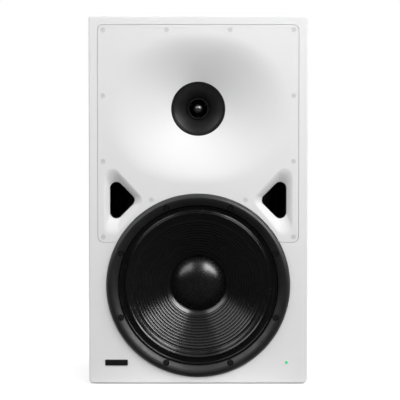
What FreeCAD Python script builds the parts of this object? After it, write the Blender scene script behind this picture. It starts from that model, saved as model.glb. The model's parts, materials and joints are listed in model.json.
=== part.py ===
import FreeCAD, Part
import math
import os
import Sketcher

# Studio monitor: a two-way powered loudspeaker in a painted board cabinet.
# Millimetres. X to the right, Y into the depth (the front faces -Y), Z up.
# The origin is the centre of the footprint, at floor level.

# Driving dimensions: alias, value, meaning
DIMENSIONS = [
    ("cabinet_width", 320, "outside width of the cabinet"),
    ("cabinet_height", 538, "outside height of the cabinet"),
    ("cabinet_depth", 330, "front face of the baffle to the back edge"),
    ("standard_width", 320, "cabinet width that the front's sizes are drawn for"),
    ("standard_height", 538, "cabinet height that the front's sizes are drawn for"),
    ("board_thick", 18, "side, top, bottom and back boards"),
    ("baffle_thick", 24, "front board"),
    ("edge_round", 6, "rounding of the outer edges"),
    ("foot_proud", 2, "reach of the feet below the cabinet"),
    ("foot_recess", 3, "depth of the foot pockets"),
    ("foot_radius", 15, "radius of a foot"),
    ("foot_inset", 40, "foot centre from the outer faces"),
    ("insert_spacing_x", 180, "stand inserts across"),
    ("insert_spacing_y", 150, "stand inserts along the depth"),
    ("insert_radius", 6, "outside radius of a stand insert"),
    ("insert_bore", 4, "bore radius of a stand insert"),
    ("insert_length", 15, "length of a stand insert"),
    ("thread_play", 0.05, "radial play round a thread or a glued bush"),
    ("fit_gap", 0.3, "gap between seated or running parts"),
    ("plate_thick", 6, "waveguide plate"),
    ("plate_corner", 8, "corner radius of the plate"),
    ("plate_groove", 0.5, "open groove round the plate"),
    ("gasket_thick", 1, "foam seals"),
    ("gasket_width", 6, "width of the plate seal"),
    ("plate_side", 13.2, "cabinet side to the side edge of the plate"),
    ("screw_inset", 7.5, "plate screws from the plate's edge"),
    ("plate_screw_radius", 2, "shank of a plate screw"),
    ("plate_screw_head", 3.6, "head radius of a plate screw"),
    ("plate_screw_length", 22, "plate screw"),
    ("horn_depth", 28, "white part of the horn"),
    ("horn_wall", 5, "wall of the horn and of the port mouths"),
    ("throat_flange_thick", 6, "flange behind the horn"),
    ("insert_depth", 30, "length of the throat insert"),
    ("exit_rim", 1.8, "raised rim round the throat"),
    ("driver_plate", 9, "front plate of the driver"),
    ("driver_magnet_thick", 18, "ring magnet of the driver"),
    ("driver_top_thick", 6, "rear plate of the driver"),
    ("tweeter_coil_wall", 0.7, "voice coil of the tweeter"),
    ("tweeter_dome", 8, "rise of the tweeter diaphragm"),
    ("tweeter_skin", 0.5, "diaphragm of the tweeter"),
    ("plug_gap", 1, "diaphragm to phase plug"),
    ("plug_length", 46, "nose of the phase plug to the back of the driver"),
    ("plug_waist", 17, "straight part of the phase plug to the back of the driver"),
    ("driver_cover_depth", 27, "rear cover of the driver"),
    ("driver_cover_wall", 3, "rear cover of the driver"),
    ("port_mouth_depth", 9, "depth of the flared mouth"),
    ("port_wall", 3, "wall of the port duct"),
    ("port_length", 180, "port duct"),
    ("port_collar", 10, "length of the duct's front collar"),
    ("bezel_proud", 7, "trim ring in front of the baffle"),
    ("flange_thick", 7, "woofer frame flange"),
    ("surround_depth", 5, "seat of the surround behind the baffle face"),
    ("basket_wall", 5, "woofer frame wall"),
    ("woofer_screw_radius", 2.5, "shank of a woofer screw"),
    ("woofer_screw_length", 18, "woofer screw under the head"),
    ("head_sink", 3, "depth of the screw heads in the flange"),
    ("surround_thick", 0.8, "woofer surround"),
    ("cone_thick", 1.2, "woofer cone"),
    ("cone_depth", 44, "edge of the cone to its neck"),
    ("former_wall", 0.6, "coil former"),
    ("former_length", 36, "coil former"),
    ("winding_wall", 1, "woofer voice coil"),
    ("winding_length", 14, "woofer voice coil"),
    ("coil_gap", 0.6, "play of the coil in the magnet gap"),
    ("spider_depth", 62, "seat of the spider behind the baffle face"),
    ("spider_thick", 0.8, "spider"),
    ("base_depth", 76, "back of the woofer frame behind the baffle face"),
    ("top_plate_thick", 8, "woofer top plate"),
    ("magnet_thick", 20, "woofer magnet"),
    ("yoke_thick", 10, "woofer back plate"),
    ("led_rise", 30, "status light and badge above the cabinet's underside"),
    ("led_radius", 2.1, "status light"),
    ("badge_width", 33, "badge"),
    ("badge_height", 8.5, "badge"),
    ("badge_thick", 1, "badge"),
    ("led_inset", 30.5, "status light from the cabinet's side"),
    ("badge_inset", 40, "middle of the badge from the cabinet's side"),
    ("amp_width", 240, "amplifier panel"),
    ("amp_height", 380, "amplifier panel"),
    ("amp_rise", 43, "amplifier panel above the cabinet's underside"),
    ("amp_thick", 4, "amplifier panel"),
    ("amp_overlap", 15, "amplifier panel over the back board"),
    ("sink_width", 200, "heat sink"),
    ("sink_above", 50, "switch and knob to the lower edge of the heat sink"),
    ("sink_margin", 22, "heat sink to the top edge of the panel"),
    ("sink_depth", 19, "heat sink, base and fins"),
    ("sink_base", 5, "base of the heat sink"),
    ("fin_thick", 2.5, "heat sink fin"),
    ("fin_count", 15, "number of fins"),
    ("board_width", 180, "circuit board"),
    ("board_sheet", 1.6, "circuit board"),
    ("standoff_length", 22, "circuit board to the amplifier panel"),
    ("standoff_radius", 4, "circuit board standoff"),
    ("capacitor_radius", 13, "filter capacitor"),
    ("capacitor_length", 32, "filter capacitor"),
    ("toroid_radius", 50, "mains transformer"),
    ("toroid_bore", 16, "mains transformer"),
    ("toroid_height", 42, "mains transformer"),
    ("inlet_x", 68, "mains inlet and switch from the middle"),
    ("socket_row", 46, "sockets above the panel's lower edge"),
    ("control_row", 88, "switch and knob above the panel's lower edge"),
    ("signal_x", 50, "signal input and level knob from the middle"),
    ("inlet_width", 24.6, "opening of the mains inlet"),
    ("inlet_height", 16.8, "opening of the mains inlet"),
    ("inlet_depth", 17, "opening of the mains inlet"),
    ("shell_wall", 1.6, "walls of the sockets"),
    ("flange_sheet", 2, "flanges of the sockets"),
    ("signal_bore", 8.2, "opening of the signal input"),
    ("signal_core", 6.6, "core of the signal input"),
    ("signal_depth", 14, "opening of the signal input"),
    ("rocker_width", 10, "power rocker"),
    ("rocker_height", 16, "power rocker"),
    ("rocker_reach", 4, "power rocker in front of its pivot"),
    ("rocker_play", 0.8, "power rocker in its housing"),
    ("rocker_tilt", 9, "power rocker from level, degrees"),
    ("knob_radius", 9, "level knob"),
    ("knob_length", 13, "level knob"),
    ("spindle_radius", 3, "spindle of the level control"),
    ("brace_depth", 150, "brace along the depth"),
    ("brace_start", 110, "brace behind the baffle face"),
    ("brace_drop", 37.5, "underside of the brace below the driver"),
    ("foam_thick", 25, "damping foam"),
    ("foam_gap", 17, "end of the port ducts to the side foam"),
    ("foam_back", 20, "side foam to the back board"),
    ("lead_radius", 2.5, "inside leads"),
]

# Sizes of the front: alias, value on a standard cabinet, meaning.
# A narrower or lower cabinet gets a front that is smaller in the same proportion.
FRONT_DIMENSIONS = [
    ("plate_margin", 13, "cabinet top to the top edge of the plate"),
    ("plate_lap", 63.8, "lower edge of the plate above the woofer axis"),
    ("screw_pitch_z", 96, "plate screws along the sides"),
    ("inner_screw_x", 69, "inner pair of plate screws, from the middle"),
    ("inner_screw_rise", 61.7, "inner pair of plate screws, above the plate's lower edge"),
    ("tweeter_drop", 122.5, "top edge of the plate to the tweeter axis"),
    ("mouth_half_width", 132, "horn mouth"),
    ("mouth_half_height", 110, "horn mouth"),
    ("throat_radius", 40, "white part of the horn at its inner end"),
    ("throat_flange", 62, "radius of the flange behind the horn"),
    ("lip_width", 3.5, "front lip of the throat insert"),
    ("exit_radius", 13.5, "throat of the compression driver"),
    ("driver_radius", 55, "compression driver"),
    ("tweeter_coil_radius", 22, "voice coil of the tweeter"),
    ("plug_tip", 6.8, "radius of the phase plug's bullet"),
    ("driver_bolt_circle", 42, "driver bolts from the axis"),
    ("port_outer", 129.5, "upright side of the port from the middle"),
    ("port_half", 40, "half height of the port's sharp triangle"),
    ("port_corner", 9.3, "corner radius of the port"),
    ("port_flare", 9, "outward flare of the port mouth"),
    ("port_clear", 8.17, "flared port to the woofer trim ring"),
    ("woofer_rise", 143.5, "woofer axis above the cabinet's underside"),
    ("bezel_radius", 134.5, "outside of the woofer trim ring"),
    ("bezel_inner", 117.5, "inside of the woofer trim ring"),
    ("bezel_crest", 128.5, "radius of the trim ring's crest"),
    ("basket_radius", 116, "woofer frame behind the flange"),
    ("woofer_screw_circle", 122.8, "woofer screws from the axis"),
    ("woofer_screw_head", 4.1, "head radius of a woofer screw"),
    ("bead_radius", 114, "outer bead of the surround"),
    ("bead_half", 2.2, "half width of the bead"),
    ("bead_height", 2, "bead of the surround"),
    ("roll_radius", 106, "main roll of the surround"),
    ("roll_half", 3.3, "half width of the main roll"),
    ("roll_height", 3.1, "main roll of the surround"),
    ("cone_radius", 102, "woofer cone"),
    ("cone_land", 5, "flat rim of the cone under the surround"),
    ("rib_first", 49, "radius of the first cone ridge"),
    ("rib_pitch", 4, "cone ridges"),
    ("rib_height", 0.7, "cone ridges"),
    ("cap_radius", 39, "woofer dust cap"),
    ("cap_rise", 16, "woofer dust cap"),
    ("former_radius", 25.4, "inside of the woofer's coil former"),
    ("spider_outer", 78, "outside of the spider"),
    ("spider_wave", 1.6, "height of the spider's waves"),
    ("base_radius", 84, "back of the woofer frame"),
    ("top_plate_radius", 78, "woofer top plate and magnet"),
    ("magnet_inner", 42, "inside of the woofer magnet"),
    ("vent_radius", 10, "bore through the woofer's pole"),
]

CONE_RIBS = 12
WOOFER_SCREWS = 8
BASKET_WINDOWS = 6
SPIDER_WAVES = 9
ROOT_HALF = math.sqrt(0.5)

doc = FreeCAD.newDocument("studio_monitor")
sheet = doc.addObject("Spreadsheet::Sheet", "Dims")


class Size:
    """A length of the sheet, or one worked out from such lengths, with its expression."""

    def __init__(self, value, text):
        self.value = value
        self.text = text

    def __add__(self, other):
        other = as_size(other)
        return Size(self.value + other.value, f"({self.text} + {other.text})")

    def __sub__(self, other):
        other = as_size(other)
        return Size(self.value - other.value, f"({self.text} - {other.text})")

    def __mul__(self, other):
        other = as_size(other)
        return Size(self.value * other.value, f"({self.text} * {other.text})")

    def __truediv__(self, other):
        other = as_size(other)
        return Size(self.value / other.value, f"({self.text} / {other.text})")

    def __radd__(self, other):
        return as_size(other) + self

    def __rsub__(self, other):
        return as_size(other) - self

    def __rmul__(self, other):
        return as_size(other) * self

    def __neg__(self):
        return as_size(0) - self


def as_size(number):
    """A plain number as a Size."""
    if isinstance(number, Size):
        return number
    return Size(float(number), f"({number:.9f})")


class Sheet:
    """The sheet's cells by alias, as Size values."""

    def __getattr__(self, alias):
        return Size(float(sheet.get(alias)), f"Dims.{alias}")


d = Sheet()
scale = "=min(cabinet_width / standard_width; cabinet_height / standard_height)"
cells = [(alias, str(value), meaning) for alias, value, meaning in DIMENSIONS]
cells.append(("front_scale", scale, "size of the front against the standard one"))
cells += [(alias, f"={value} * front_scale", meaning) for alias, value, meaning in FRONT_DIMENSIONS]
for row, (alias, content, meaning) in enumerate(cells, start=1):
    sheet.set(f"A{row}", alias)
    sheet.set(f"B{row}", content)
    sheet.setAlias(f"B{row}", alias)
    sheet.set(f"C{row}", meaning)
doc.recompute()

# Places that many parts share
front_y = (d.bezel_proud - d.cabinet_depth - d.amp_thick - d.sink_depth) / 2
back_y = front_y + d.cabinet_depth
floor_z = d.foot_proud
top_z = floor_z + d.cabinet_height
half_width = d.cabinet_width / 2
inner_x = half_width - d.board_thick
woofer_z = floor_z + d.woofer_rise
plate_width = d.cabinet_width - 2 * d.plate_side
plate_top = top_z - d.plate_margin
plate_bottom = woofer_z + d.plate_lap
tweeter_z = plate_top - d.tweeter_drop
port_tip = d.port_outer - d.port_half - d.port_flare * math.sqrt(2)
port_z = woofer_z + (d.bezel_radius + d.port_clear) * math.sqrt(2) - port_tip
rebate_depth = d.plate_thick + d.gasket_thick
panel_y = back_y + d.amp_thick
amp_bottom = floor_z + d.amp_rise
row_z = amp_bottom + d.socket_row
control_z = amp_bottom + d.control_row
led_x = half_width - d.led_inset
lamp_z = floor_z + d.led_rise
brace_z = tweeter_z - d.driver_radius - d.brace_drop

FACING_BACK = FreeCAD.Rotation(FreeCAD.Vector(1, 0, 0), -90)
FACING_FRONT = FreeCAD.Rotation(FreeCAD.Vector(1, 0, 0), 90)
UPRIGHT = FreeCAD.Rotation()


def bind(thing, name, size):
    """Ties a property to the sheet."""
    thing.setExpression(name, as_size(size).text)


def place(thing, x=0, y=0, z=0, turn=UPRIGHT):
    """Puts an object at a place that follows the sheet."""
    spot = [as_size(x), as_size(y), as_size(z)]
    thing.Placement = FreeCAD.Placement(FreeCAD.Vector(*[size.value for size in spot]), turn)
    for axis, size in zip("xyz", spot):
        bind(thing, f"Placement.Base.{axis}", size)


def through(u, v):
    """A point that the arc between its two neighbours runs through."""
    return (u, v, True)


def rounded(corners, radius):
    """A polygon's outline with each corner turned into an arc."""
    radius = as_size(radius)
    outline = []
    flat = [(as_size(u).value, as_size(v).value) for u, v in corners]
    for index, (u, v) in enumerate(corners):
        here = flat[index]
        ways = []
        for other in (flat[index - 1], flat[(index + 1) % len(flat)]):
            span = math.dist(here, other)
            ways.append(((other[0] - here[0]) / span, (other[1] - here[1]) / span))
        (ax, ay), (bx, by) = ways
        half = math.acos(ax * bx + ay * by) / 2
        length = math.hypot(ax + bx, ay + by)
        middle = ((ax + bx) / length, (ay + by) / length)
        reach = 1 / math.tan(half)
        bow = 1 / math.sin(half) - 1
        outline.append((u + radius * (reach * ax), v + radius * (reach * ay)))
        outline.append(through(u + radius * (bow * middle[0]), v + radius * (bow * middle[1])))
        outline.append((u + radius * (reach * bx), v + radius * (reach * by)))
    return outline


def rectangle(u, v, width, height):
    """The corners of a rectangle about a middle point."""
    u, v = as_size(u), as_size(v)
    left, right = u - width / 2, u + width / 2
    low, high = v - height / 2, v + height / 2
    return [(left, low), (right, low), (right, high), (left, high)]


def polygon(u, v, radius, sides):
    """The corners of a regular polygon."""
    turns = [2 * math.pi * k / sides for k in range(sides)]
    return [(u + radius * math.cos(a), v + radius * math.sin(a)) for a in turns]


def dome(radius, base, rise):
    """Half the outline of a spherical cap, from its pole to its edge."""
    wide, high = as_size(radius).value, abs(as_size(rise).value)
    ball = (wide * wide + high * high) / (2 * high)
    share = 1 - (ball - math.sqrt(ball * ball - wide * wide / 4)) / high
    return [(0, base + rise), through(radius / 2, base + rise * share), (radius, base)]


def stretches(outline):
    """Each side of an outline as start, point on the way or None, end."""
    corners = [k for k, point in enumerate(outline) if len(point) == 2]
    sides = []
    for here, after in zip(corners, corners[1:] + [corners[0] + len(outline)]):
        way = outline[here + 1] if after - here == 2 else None
        sides.append((outline[here], way, outline[after % len(outline)]))
    return sides


def flat_vector(point):
    """A point of an outline as a vector in the sketch's plane."""
    return FreeCAD.Vector(as_size(point[0]).value, as_size(point[1]).value, 0)


def is_clockwise(start, way, end):
    """Whether the arc from start to end turns clockwise."""
    return (way - start).cross(end - way).z < 0


def add_sketch(body, plane, lift=0):
    """An empty sketch on one of the body's base planes, lifted along its normal."""
    sketch = body.newObject("Sketcher::SketchObject", "Sketch")
    support = next(item for item in body.Origin.OriginFeatures if item.Role == plane)
    sketch.AttachmentSupport = [(support, "")]
    sketch.MapMode = "FlatFace"
    bind(sketch, "AttachmentOffset.Base.z", lift)
    return sketch


class Drawing:
    """Collects the constraints of a sketch and adds them together."""

    def __init__(self, sketch):
        self.sketch = sketch
        self.rules = []
        self.texts = []

    def rule(self, *values):
        self.rules.append(Sketcher.Constraint(*values))
        self.texts.append(None)

    def pin(self, item, end, point):
        """Holds a point at a place given by two sizes."""
        for kind, size in zip(("DistanceX", "DistanceY"), (as_size(point[0]), as_size(point[1]))):
            self.rules.append(Sketcher.Constraint(kind, -1, 1, item, end, size.value))
            self.texts.append(size.text)

    def close(self):
        for index, text in zip(self.sketch.addConstraint(self.rules), self.texts):
            if text:
                self.sketch.setExpression(f"Constraints[{index}]", text)


def draw(sketch, outline):
    """Draws a closed outline with every corner held by the sheet."""
    drawing = Drawing(sketch)
    ends = []
    for start, way, end in stretches(outline):
        first, last = flat_vector(start), flat_vector(end)
        if way is None:
            item = sketch.addGeometry(Part.LineSegment(first, last), False)
            ends.append((item, 1, 2))
        else:
            middle = flat_vector(way)
            backward = is_clockwise(first, middle, last)
            if backward:
                first, last = last, first
            item = sketch.addGeometry(Part.Arc(first, middle, last), False)
            ends.append((item, 2, 1) if backward else (item, 1, 2))
            mark = sketch.addGeometry(Part.Point(middle), True)
            drawing.pin(mark, 1, way)
            drawing.rule("PointOnObject", mark, 1, item)
        drawing.pin(item, ends[-1][1], start)
    for (item, _, end), (after, begin, _) in zip(ends, ends[1:] + ends[:1]):
        drawing.rule("Coincident", item, end, after, begin)
    drawing.close()
    return sketch


def draw_circle(sketch, u, v, radius):
    """Draws a circle held by the sheet."""
    drawing = Drawing(sketch)
    radius = as_size(radius)
    centre = flat_vector((u, v))
    item = sketch.addGeometry(Part.Circle(centre, FreeCAD.Vector(0, 0, 1), radius.value), False)
    drawing.pin(item, 3, (u, v))
    drawing.rules.append(Sketcher.Constraint("Radius", item, radius.value))
    drawing.texts.append(radius.text)
    drawing.close()
    return sketch


def feature(body, kind, sketch):
    """A feature of the body on a sketch."""
    made = body.newObject(f"PartDesign::{kind}", kind)
    made.Profile = sketch
    sketch.Visibility = False
    return made


def new_body(label):
    """An empty body with its label."""
    body = doc.addObject("PartDesign::Body", label)
    body.Label = label
    return body


def pad(body, sketch, length, backwards=True):
    """Raises a sketch; on an upright sketch this runs into the depth."""
    made = feature(body, "Pad", sketch)
    bind(made, "Length", length)
    made.Reversed = backwards
    return made


def pocket(body, sketch, length, backwards=False):
    """Cuts a sketch away; on an upright sketch this runs into the depth."""
    before = settled(body).Shape.Volume
    made = feature(body, "Pocket", sketch)
    bind(made, "Length", length)
    made.Reversed = backwards
    if settled(body).Shape.Volume > before - 1e-3:
        raise ValueError(f"{body.Label}: a pocket cuts nothing")
    return made


def settled(thing):
    """The object with its shape up to date."""
    doc.recompute()
    return thing


def prism(label, outline, y, length):
    """A body with an upright outline that runs from y into the depth."""
    body = new_body(label)
    pad(body, draw(add_sketch(body, "XZ_Plane"), outline), length)
    place(body, y=y)
    return body


def turned(label, profile, x=0, y=0, z=0, turn=FACING_BACK):
    """A body turned round its axis from a profile of (radius, depth) points."""
    body = new_body(label)
    sketch = draw(add_sketch(body, "XZ_Plane"), profile)
    made = feature(body, "Revolution", sketch)
    made.ReferenceAxis = (sketch, ["V_Axis"])
    made.Angle = 360
    place(body, x, y, z, turn)
    return body


def ring_pattern(body, made, count):
    """Repeats a feature round the body's own axis."""
    pattern = body.newObject("PartDesign::PolarPattern", "PolarPattern")
    axis = next(item for item in body.Origin.OriginFeatures if item.Role == "Z_Axis")
    pattern.Originals = [made]
    pattern.Axis = (axis, [""])
    pattern.Angle = 360
    pattern.Occurrences = count
    body.Tip = pattern
    return pattern


def box(label, x, y, z, width, depth, height):
    """A plain block, by its lowest corner."""
    block = doc.addObject("Part::Box", label)
    block.Label = label
    for name, size in (("Length", width), ("Width", depth), ("Height", height)):
        bind(block, name, size)
    place(block, x, y, z)
    return block


def group(label, master, spots, turn):
    """Copies of one piece, as separate solids of one part."""
    copies = []
    for spot in spots:
        copy = doc.addObject("App::Link", f"{label}_copy")
        copy.LinkedObject = master
        place(copy, *spot, turn)
        copies.append(copy)
    return bundle(label, copies)


def bundle(label, pieces):
    """Like pieces as separate solids of one part."""
    whole = doc.addObject("Part::Compound", label)
    whole.Label = label
    whole.Links = pieces
    return whole


def joined(kind, label, base, tool):
    """A boolean of two objects: Cut, Fuse or Common."""
    made = doc.addObject(f"Part::{kind}", label)
    made.Label = label
    made.Base = base
    made.Tool = tool
    return made


def solid_feature(name, shape):
    """An object for a shape that is worked out point by point."""
    made = doc.addObject("Part::Feature", name)
    made.Shape = shape
    return made


def upright_wire(outline, y):
    """An outline as a wire in the upright plane at y."""
    edges = []
    for start, way, end in stretches(outline):
        points = [start, end] if way is None else [start, way, end]
        spots = [FreeCAD.Vector(flat_vector(p).x, y, flat_vector(p).y) for p in points]
        edges.append((Part.LineSegment(*spots) if way is None else Part.Arc(*spots)).toShape())
    return Part.Wire(edges)


# Cabinet

def port_outline(side, grow, corner):
    """The port's triangle, its tip towards the middle, grown outward by an amount."""
    half = d.port_half + grow * (1 + math.sqrt(2))
    upright = d.port_outer + grow
    tip = d.port_outer - d.port_half - grow * math.sqrt(2)
    corners = [(side * upright, port_z + half), (side * upright, port_z - half), (side * tip, port_z)]
    return rounded(corners, corner)


def plate_screw_spots():
    """Places of the plate's screws as (x, z)."""
    edge = plate_width / 2 - d.screw_inset
    high = plate_top - d.screw_inset
    low = plate_bottom + d.screw_inset
    spots = []
    for side in (-1, 1):
        spots.append((side * edge / 3, high))
        spots.append((side * edge, low))
        spots.append((side * d.inner_screw_x, plate_bottom + d.inner_screw_rise))
        for step in range(3):
            spots.append((side * edge, high - step * d.screw_pitch_z))
    return spots


def woofer_screw_spots():
    """Places of the woofer's screws as (x, z)."""
    turns = [2 * math.pi * (k + 0.5) / WOOFER_SCREWS for k in range(WOOFER_SCREWS)]
    circle = d.woofer_screw_circle
    return [(circle * math.cos(a), woofer_z + circle * math.sin(a)) for a in turns]


def plate_outline(grow):
    """The waveguide plate's outline, grown outward by an amount."""
    middle = (plate_top + plate_bottom) / 2
    corners = rectangle(0, middle, plate_width + 2 * grow, plate_top - plate_bottom + 2 * grow)
    return rounded(corners, d.plate_corner + grow)


def make_baffle():
    """Front board with its openings."""
    body = new_body("front_baffle")
    outline = rectangle(0, (floor_z + top_z) / 2, d.cabinet_width, d.cabinet_height)
    board = pad(body, draw(add_sketch(body, "XZ_Plane"), rounded(outline, d.edge_round)), d.baffle_thick)
    edges = settled(board).Shape.Edges
    names = [f"Edge{k}" for k, edge in enumerate(edges, start=1) if edge.BoundBox.YMax < 1e-6]
    soft = body.newObject("PartDesign::Fillet", "Fillet")
    soft.Base = (board, names)
    bind(soft, "Radius", d.edge_round * 0.4)
    pocket(body, draw(add_sketch(body, "XZ_Plane"), plate_outline(d.plate_groove)), rebate_depth)
    seat = draw_circle(add_sketch(body, "XZ_Plane"), 0, woofer_z, d.bezel_radius + d.plate_groove)
    pocket(body, seat, d.flange_thick + d.gasket_thick)
    hole = draw_circle(add_sketch(body, "XZ_Plane"), 0, woofer_z, d.basket_radius + 1)
    pocket(body, hole, d.baffle_thick)
    window = rectangle(0, tweeter_z, d.mouth_half_width * 1.72, d.mouth_half_height * 1.78)
    window = rounded(window, d.mouth_half_height * 0.5)
    pocket(body, draw(add_sketch(body, "XZ_Plane"), window), d.baffle_thick)
    for side in (-1, 1):
        hole = port_outline(side, d.port_flare, d.port_corner + d.port_wall)
        pocket(body, draw(add_sketch(body, "XZ_Plane"), hole), d.baffle_thick)
    lamp = draw_circle(add_sketch(body, "XZ_Plane"), led_x, lamp_z, d.led_radius)
    pocket(body, lamp, d.baffle_thick)
    holes = add_sketch(body, "XZ_Plane")
    for x, z in plate_screw_spots():
        draw_circle(holes, x, z, d.plate_screw_radius + d.thread_play)
    pocket(body, holes, d.plate_screw_length + 0.5)
    holes = add_sketch(body, "XZ_Plane")
    for x, z in woofer_screw_spots():
        draw_circle(holes, x, z, d.woofer_screw_radius + d.thread_play)
    pocket(body, holes, d.head_sink + d.woofer_screw_length + 0.5)
    place(body, y=front_y)
    return body


def wide_board(label, z, upward):
    """Top or bottom board: full width, its two outer edges rounded."""
    outer = z + upward * d.board_thick
    round_x, round_z = d.edge_round, upward * d.edge_round
    bow = 1 - ROOT_HALF
    outline = [(-half_width, z), (half_width, z), (half_width, outer - round_z),
               through(half_width - round_x * bow, outer - round_z * bow),
               (half_width - round_x, outer), (-half_width + round_x, outer),
               through(-half_width + round_x * bow, outer - round_z * bow),
               (-half_width, outer - round_z)]
    start = front_y + d.baffle_thick
    return prism(label, outline, start, d.cabinet_depth - d.baffle_thick)


def foot_spots():
    """Feet as (x, y)."""
    near, far = front_y + d.foot_inset, back_y - d.foot_inset
    reach = half_width - d.foot_inset
    return [(side * reach, y) for side in (-1, 1) for y in (near, far)]


def insert_spots():
    """Stand inserts as (x, y)."""
    middle = (front_y + back_y) / 2
    reach_x, reach_y = d.insert_spacing_x / 2, d.insert_spacing_y / 2
    return [(sx * reach_x, middle + sy * reach_y) for sx in (-1, 1) for sy in (-1, 1)]


def make_bottom():
    """Bottom board with foot pockets and holes for the stand inserts."""
    body = wide_board("bottom_panel", floor_z + d.board_thick, -1)
    start = front_y + d.baffle_thick
    recess = add_sketch(body, "XY_Plane", floor_z)
    for x, y in foot_spots():
        draw_circle(recess, x, y - start, d.foot_radius + d.thread_play)
    pocket(body, recess, d.foot_recess, True)
    holes = add_sketch(body, "XY_Plane", floor_z)
    for x, y in insert_spots():
        draw_circle(holes, x, y - start, d.insert_radius + d.thread_play)
    pocket(body, holes, d.insert_length, True)
    return body


def make_back():
    """Back board with the window behind the amplifier panel."""
    middle = (floor_z + top_z) / 2
    outline = rectangle(0, middle, 2 * inner_x, d.cabinet_height - 2 * d.board_thick)
    body = prism("back_panel", outline, back_y - d.board_thick, d.board_thick)
    lap = 2 * d.amp_overlap
    window = rectangle(0, amp_bottom + d.amp_height / 2, d.amp_width - lap, d.amp_height - lap)
    pocket(body, draw(add_sketch(body, "XZ_Plane"), rounded(window, 6)), d.board_thick)
    holes = add_sketch(body, "XZ_Plane", -d.board_thick)
    for x, z in amp_screw_spots():
        draw_circle(holes, x, z, 1.75 + d.thread_play)
    pocket(body, holes, 14.5, True)
    return body


def make_cabinet():
    """Boards, brace, feet, stand inserts and damping foam."""
    start = front_y + d.baffle_thick
    depth = d.cabinet_depth - d.baffle_thick
    tall = d.cabinet_height - 2 * d.board_thick
    low = floor_z + d.board_thick
    parts = [make_baffle(), wide_board("top_panel", top_z - d.board_thick, 1), make_bottom(), make_back()]
    parts.append(box("left_side_panel", -half_width, start, low, d.board_thick, depth, tall))
    parts.append(box("right_side_panel", inner_x, start, low, d.board_thick, depth, tall))
    shelf = rounded(rectangle(0, d.brace_depth / 2, inner_x * 2, d.brace_depth), 0.5)
    brace = new_body("cabinet_brace")
    pad(brace, draw(add_sketch(brace, "XY_Plane"), shelf), d.board_thick, False)
    for side in (-1, 1):
        window = rectangle(side * inner_x / 2, d.brace_depth / 2, inner_x * 0.7, d.brace_depth * 0.6)
        pocket(brace, draw(add_sketch(brace, "XY_Plane"), rounded(window, 15)), d.board_thick, True)
    place(brace, y=front_y + d.brace_start, z=brace_z)
    parts.append(brace)
    foot = turned("foot", [(0, 0), (d.foot_radius - 1, 0), (d.foot_radius, 1),
                           (d.foot_radius, d.foot_proud + d.foot_recess), (0, d.foot_proud + d.foot_recess)])
    parts.append(group("rubber_feet", foot, [(x, y, 0) for x, y in foot_spots()], UPRIGHT))
    bush = turned("stand_insert", [(d.insert_bore, 0), (d.insert_radius, 0),
                                   (d.insert_radius, d.insert_length), (d.insert_bore, d.insert_length)])
    parts.append(group("stand_inserts", bush, [(x, y, floor_z) for x, y in insert_spots()], UPRIGHT))
    foam_y = front_y + d.port_mouth_depth + d.port_length + d.foam_gap
    foam_deep = back_y - d.board_thick - d.foam_back - foam_y
    foam_z = low + 20
    foam_tall = brace_z - foam_z - 12
    roof = top_z - d.board_thick - d.foam_thick
    parts.append(bundle("damping_foam", [
        box("foam_left", -inner_x, foam_y, foam_z, d.foam_thick, foam_deep, foam_tall),
        box("foam_right", inner_x - d.foam_thick, foam_y, foam_z, d.foam_thick, foam_deep, foam_tall),
        box("foam_top", -inner_x * 0.7, front_y + d.brace_start, roof, inner_x * 1.4, d.brace_depth,
            d.foam_thick)]))
    return parts


# Waveguide with its two port mouths

def horn_section(depth, half_x, half_z, power):
    """A closed smooth section of the horn at a depth behind the baffle face."""
    points = []
    for step in range(32):
        turn = 2 * math.pi * step / 32
        c, s = math.cos(turn), math.sin(turn)
        x = half_x * math.copysign(abs(c) ** (2 / power), c)
        z = half_z * math.copysign(abs(s) ** (2 / power), s)
        points.append(FreeCAD.Vector(x, front_y.value + depth, tweeter_z.value + z))
    curve = Part.BSplineCurve()
    curve.interpolate(Points=points, PeriodicFlag=True)
    return Part.Wire([curve.toShape()])


def horn_sink(share):
    """Share of the horn's depth, a share of the way in: flat at the mouth, then ever nearer to a cone."""
    bend = 3.5
    return (share - (1 - math.exp(-bend * share)) / bend) / (1 - (1 - math.exp(-bend)) / bend)


def horn_solid(wall):
    """The horn's inside, or with a wall its outside, as a solid."""
    depth = d.horn_depth.value
    throat = d.throat_radius.value
    sections = []
    for step in range(8):
        share = step / 7
        half_x = d.mouth_half_width.value - (d.mouth_half_width.value - throat) * share
        half_z = d.mouth_half_height.value - (d.mouth_half_height.value - throat) * share
        power = 2 + 0.3 * (1 - share)
        back = depth * horn_sink(share) + wall * 0.6 - (0.15 if step == 0 else 0)
        sections.append(horn_section(back, half_x + wall * 0.8, half_z + wall * 0.8, power))
    return Part.makeLoft(sections, True, False)


def port_mouth_solid(side, wall):
    """A flared port mouth's inside, or with a wall its outside, as a solid."""
    sections = []
    start = 0.4 if wall else 0
    for share in (start, 0.5, 0.75, 1):
        depth = d.port_mouth_depth.value * share ** 1.4
        grow = d.port_flare.value * (1 - share) * (0.62 if wall else 1) + wall * 0.7
        corner = d.port_corner.value + 3 * (1 - share) + wall * 0.4
        sections.append(upright_wire(port_outline(side, grow, corner), front_y.value + depth))
    return Part.makeLoft(sections, True, True)


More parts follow.
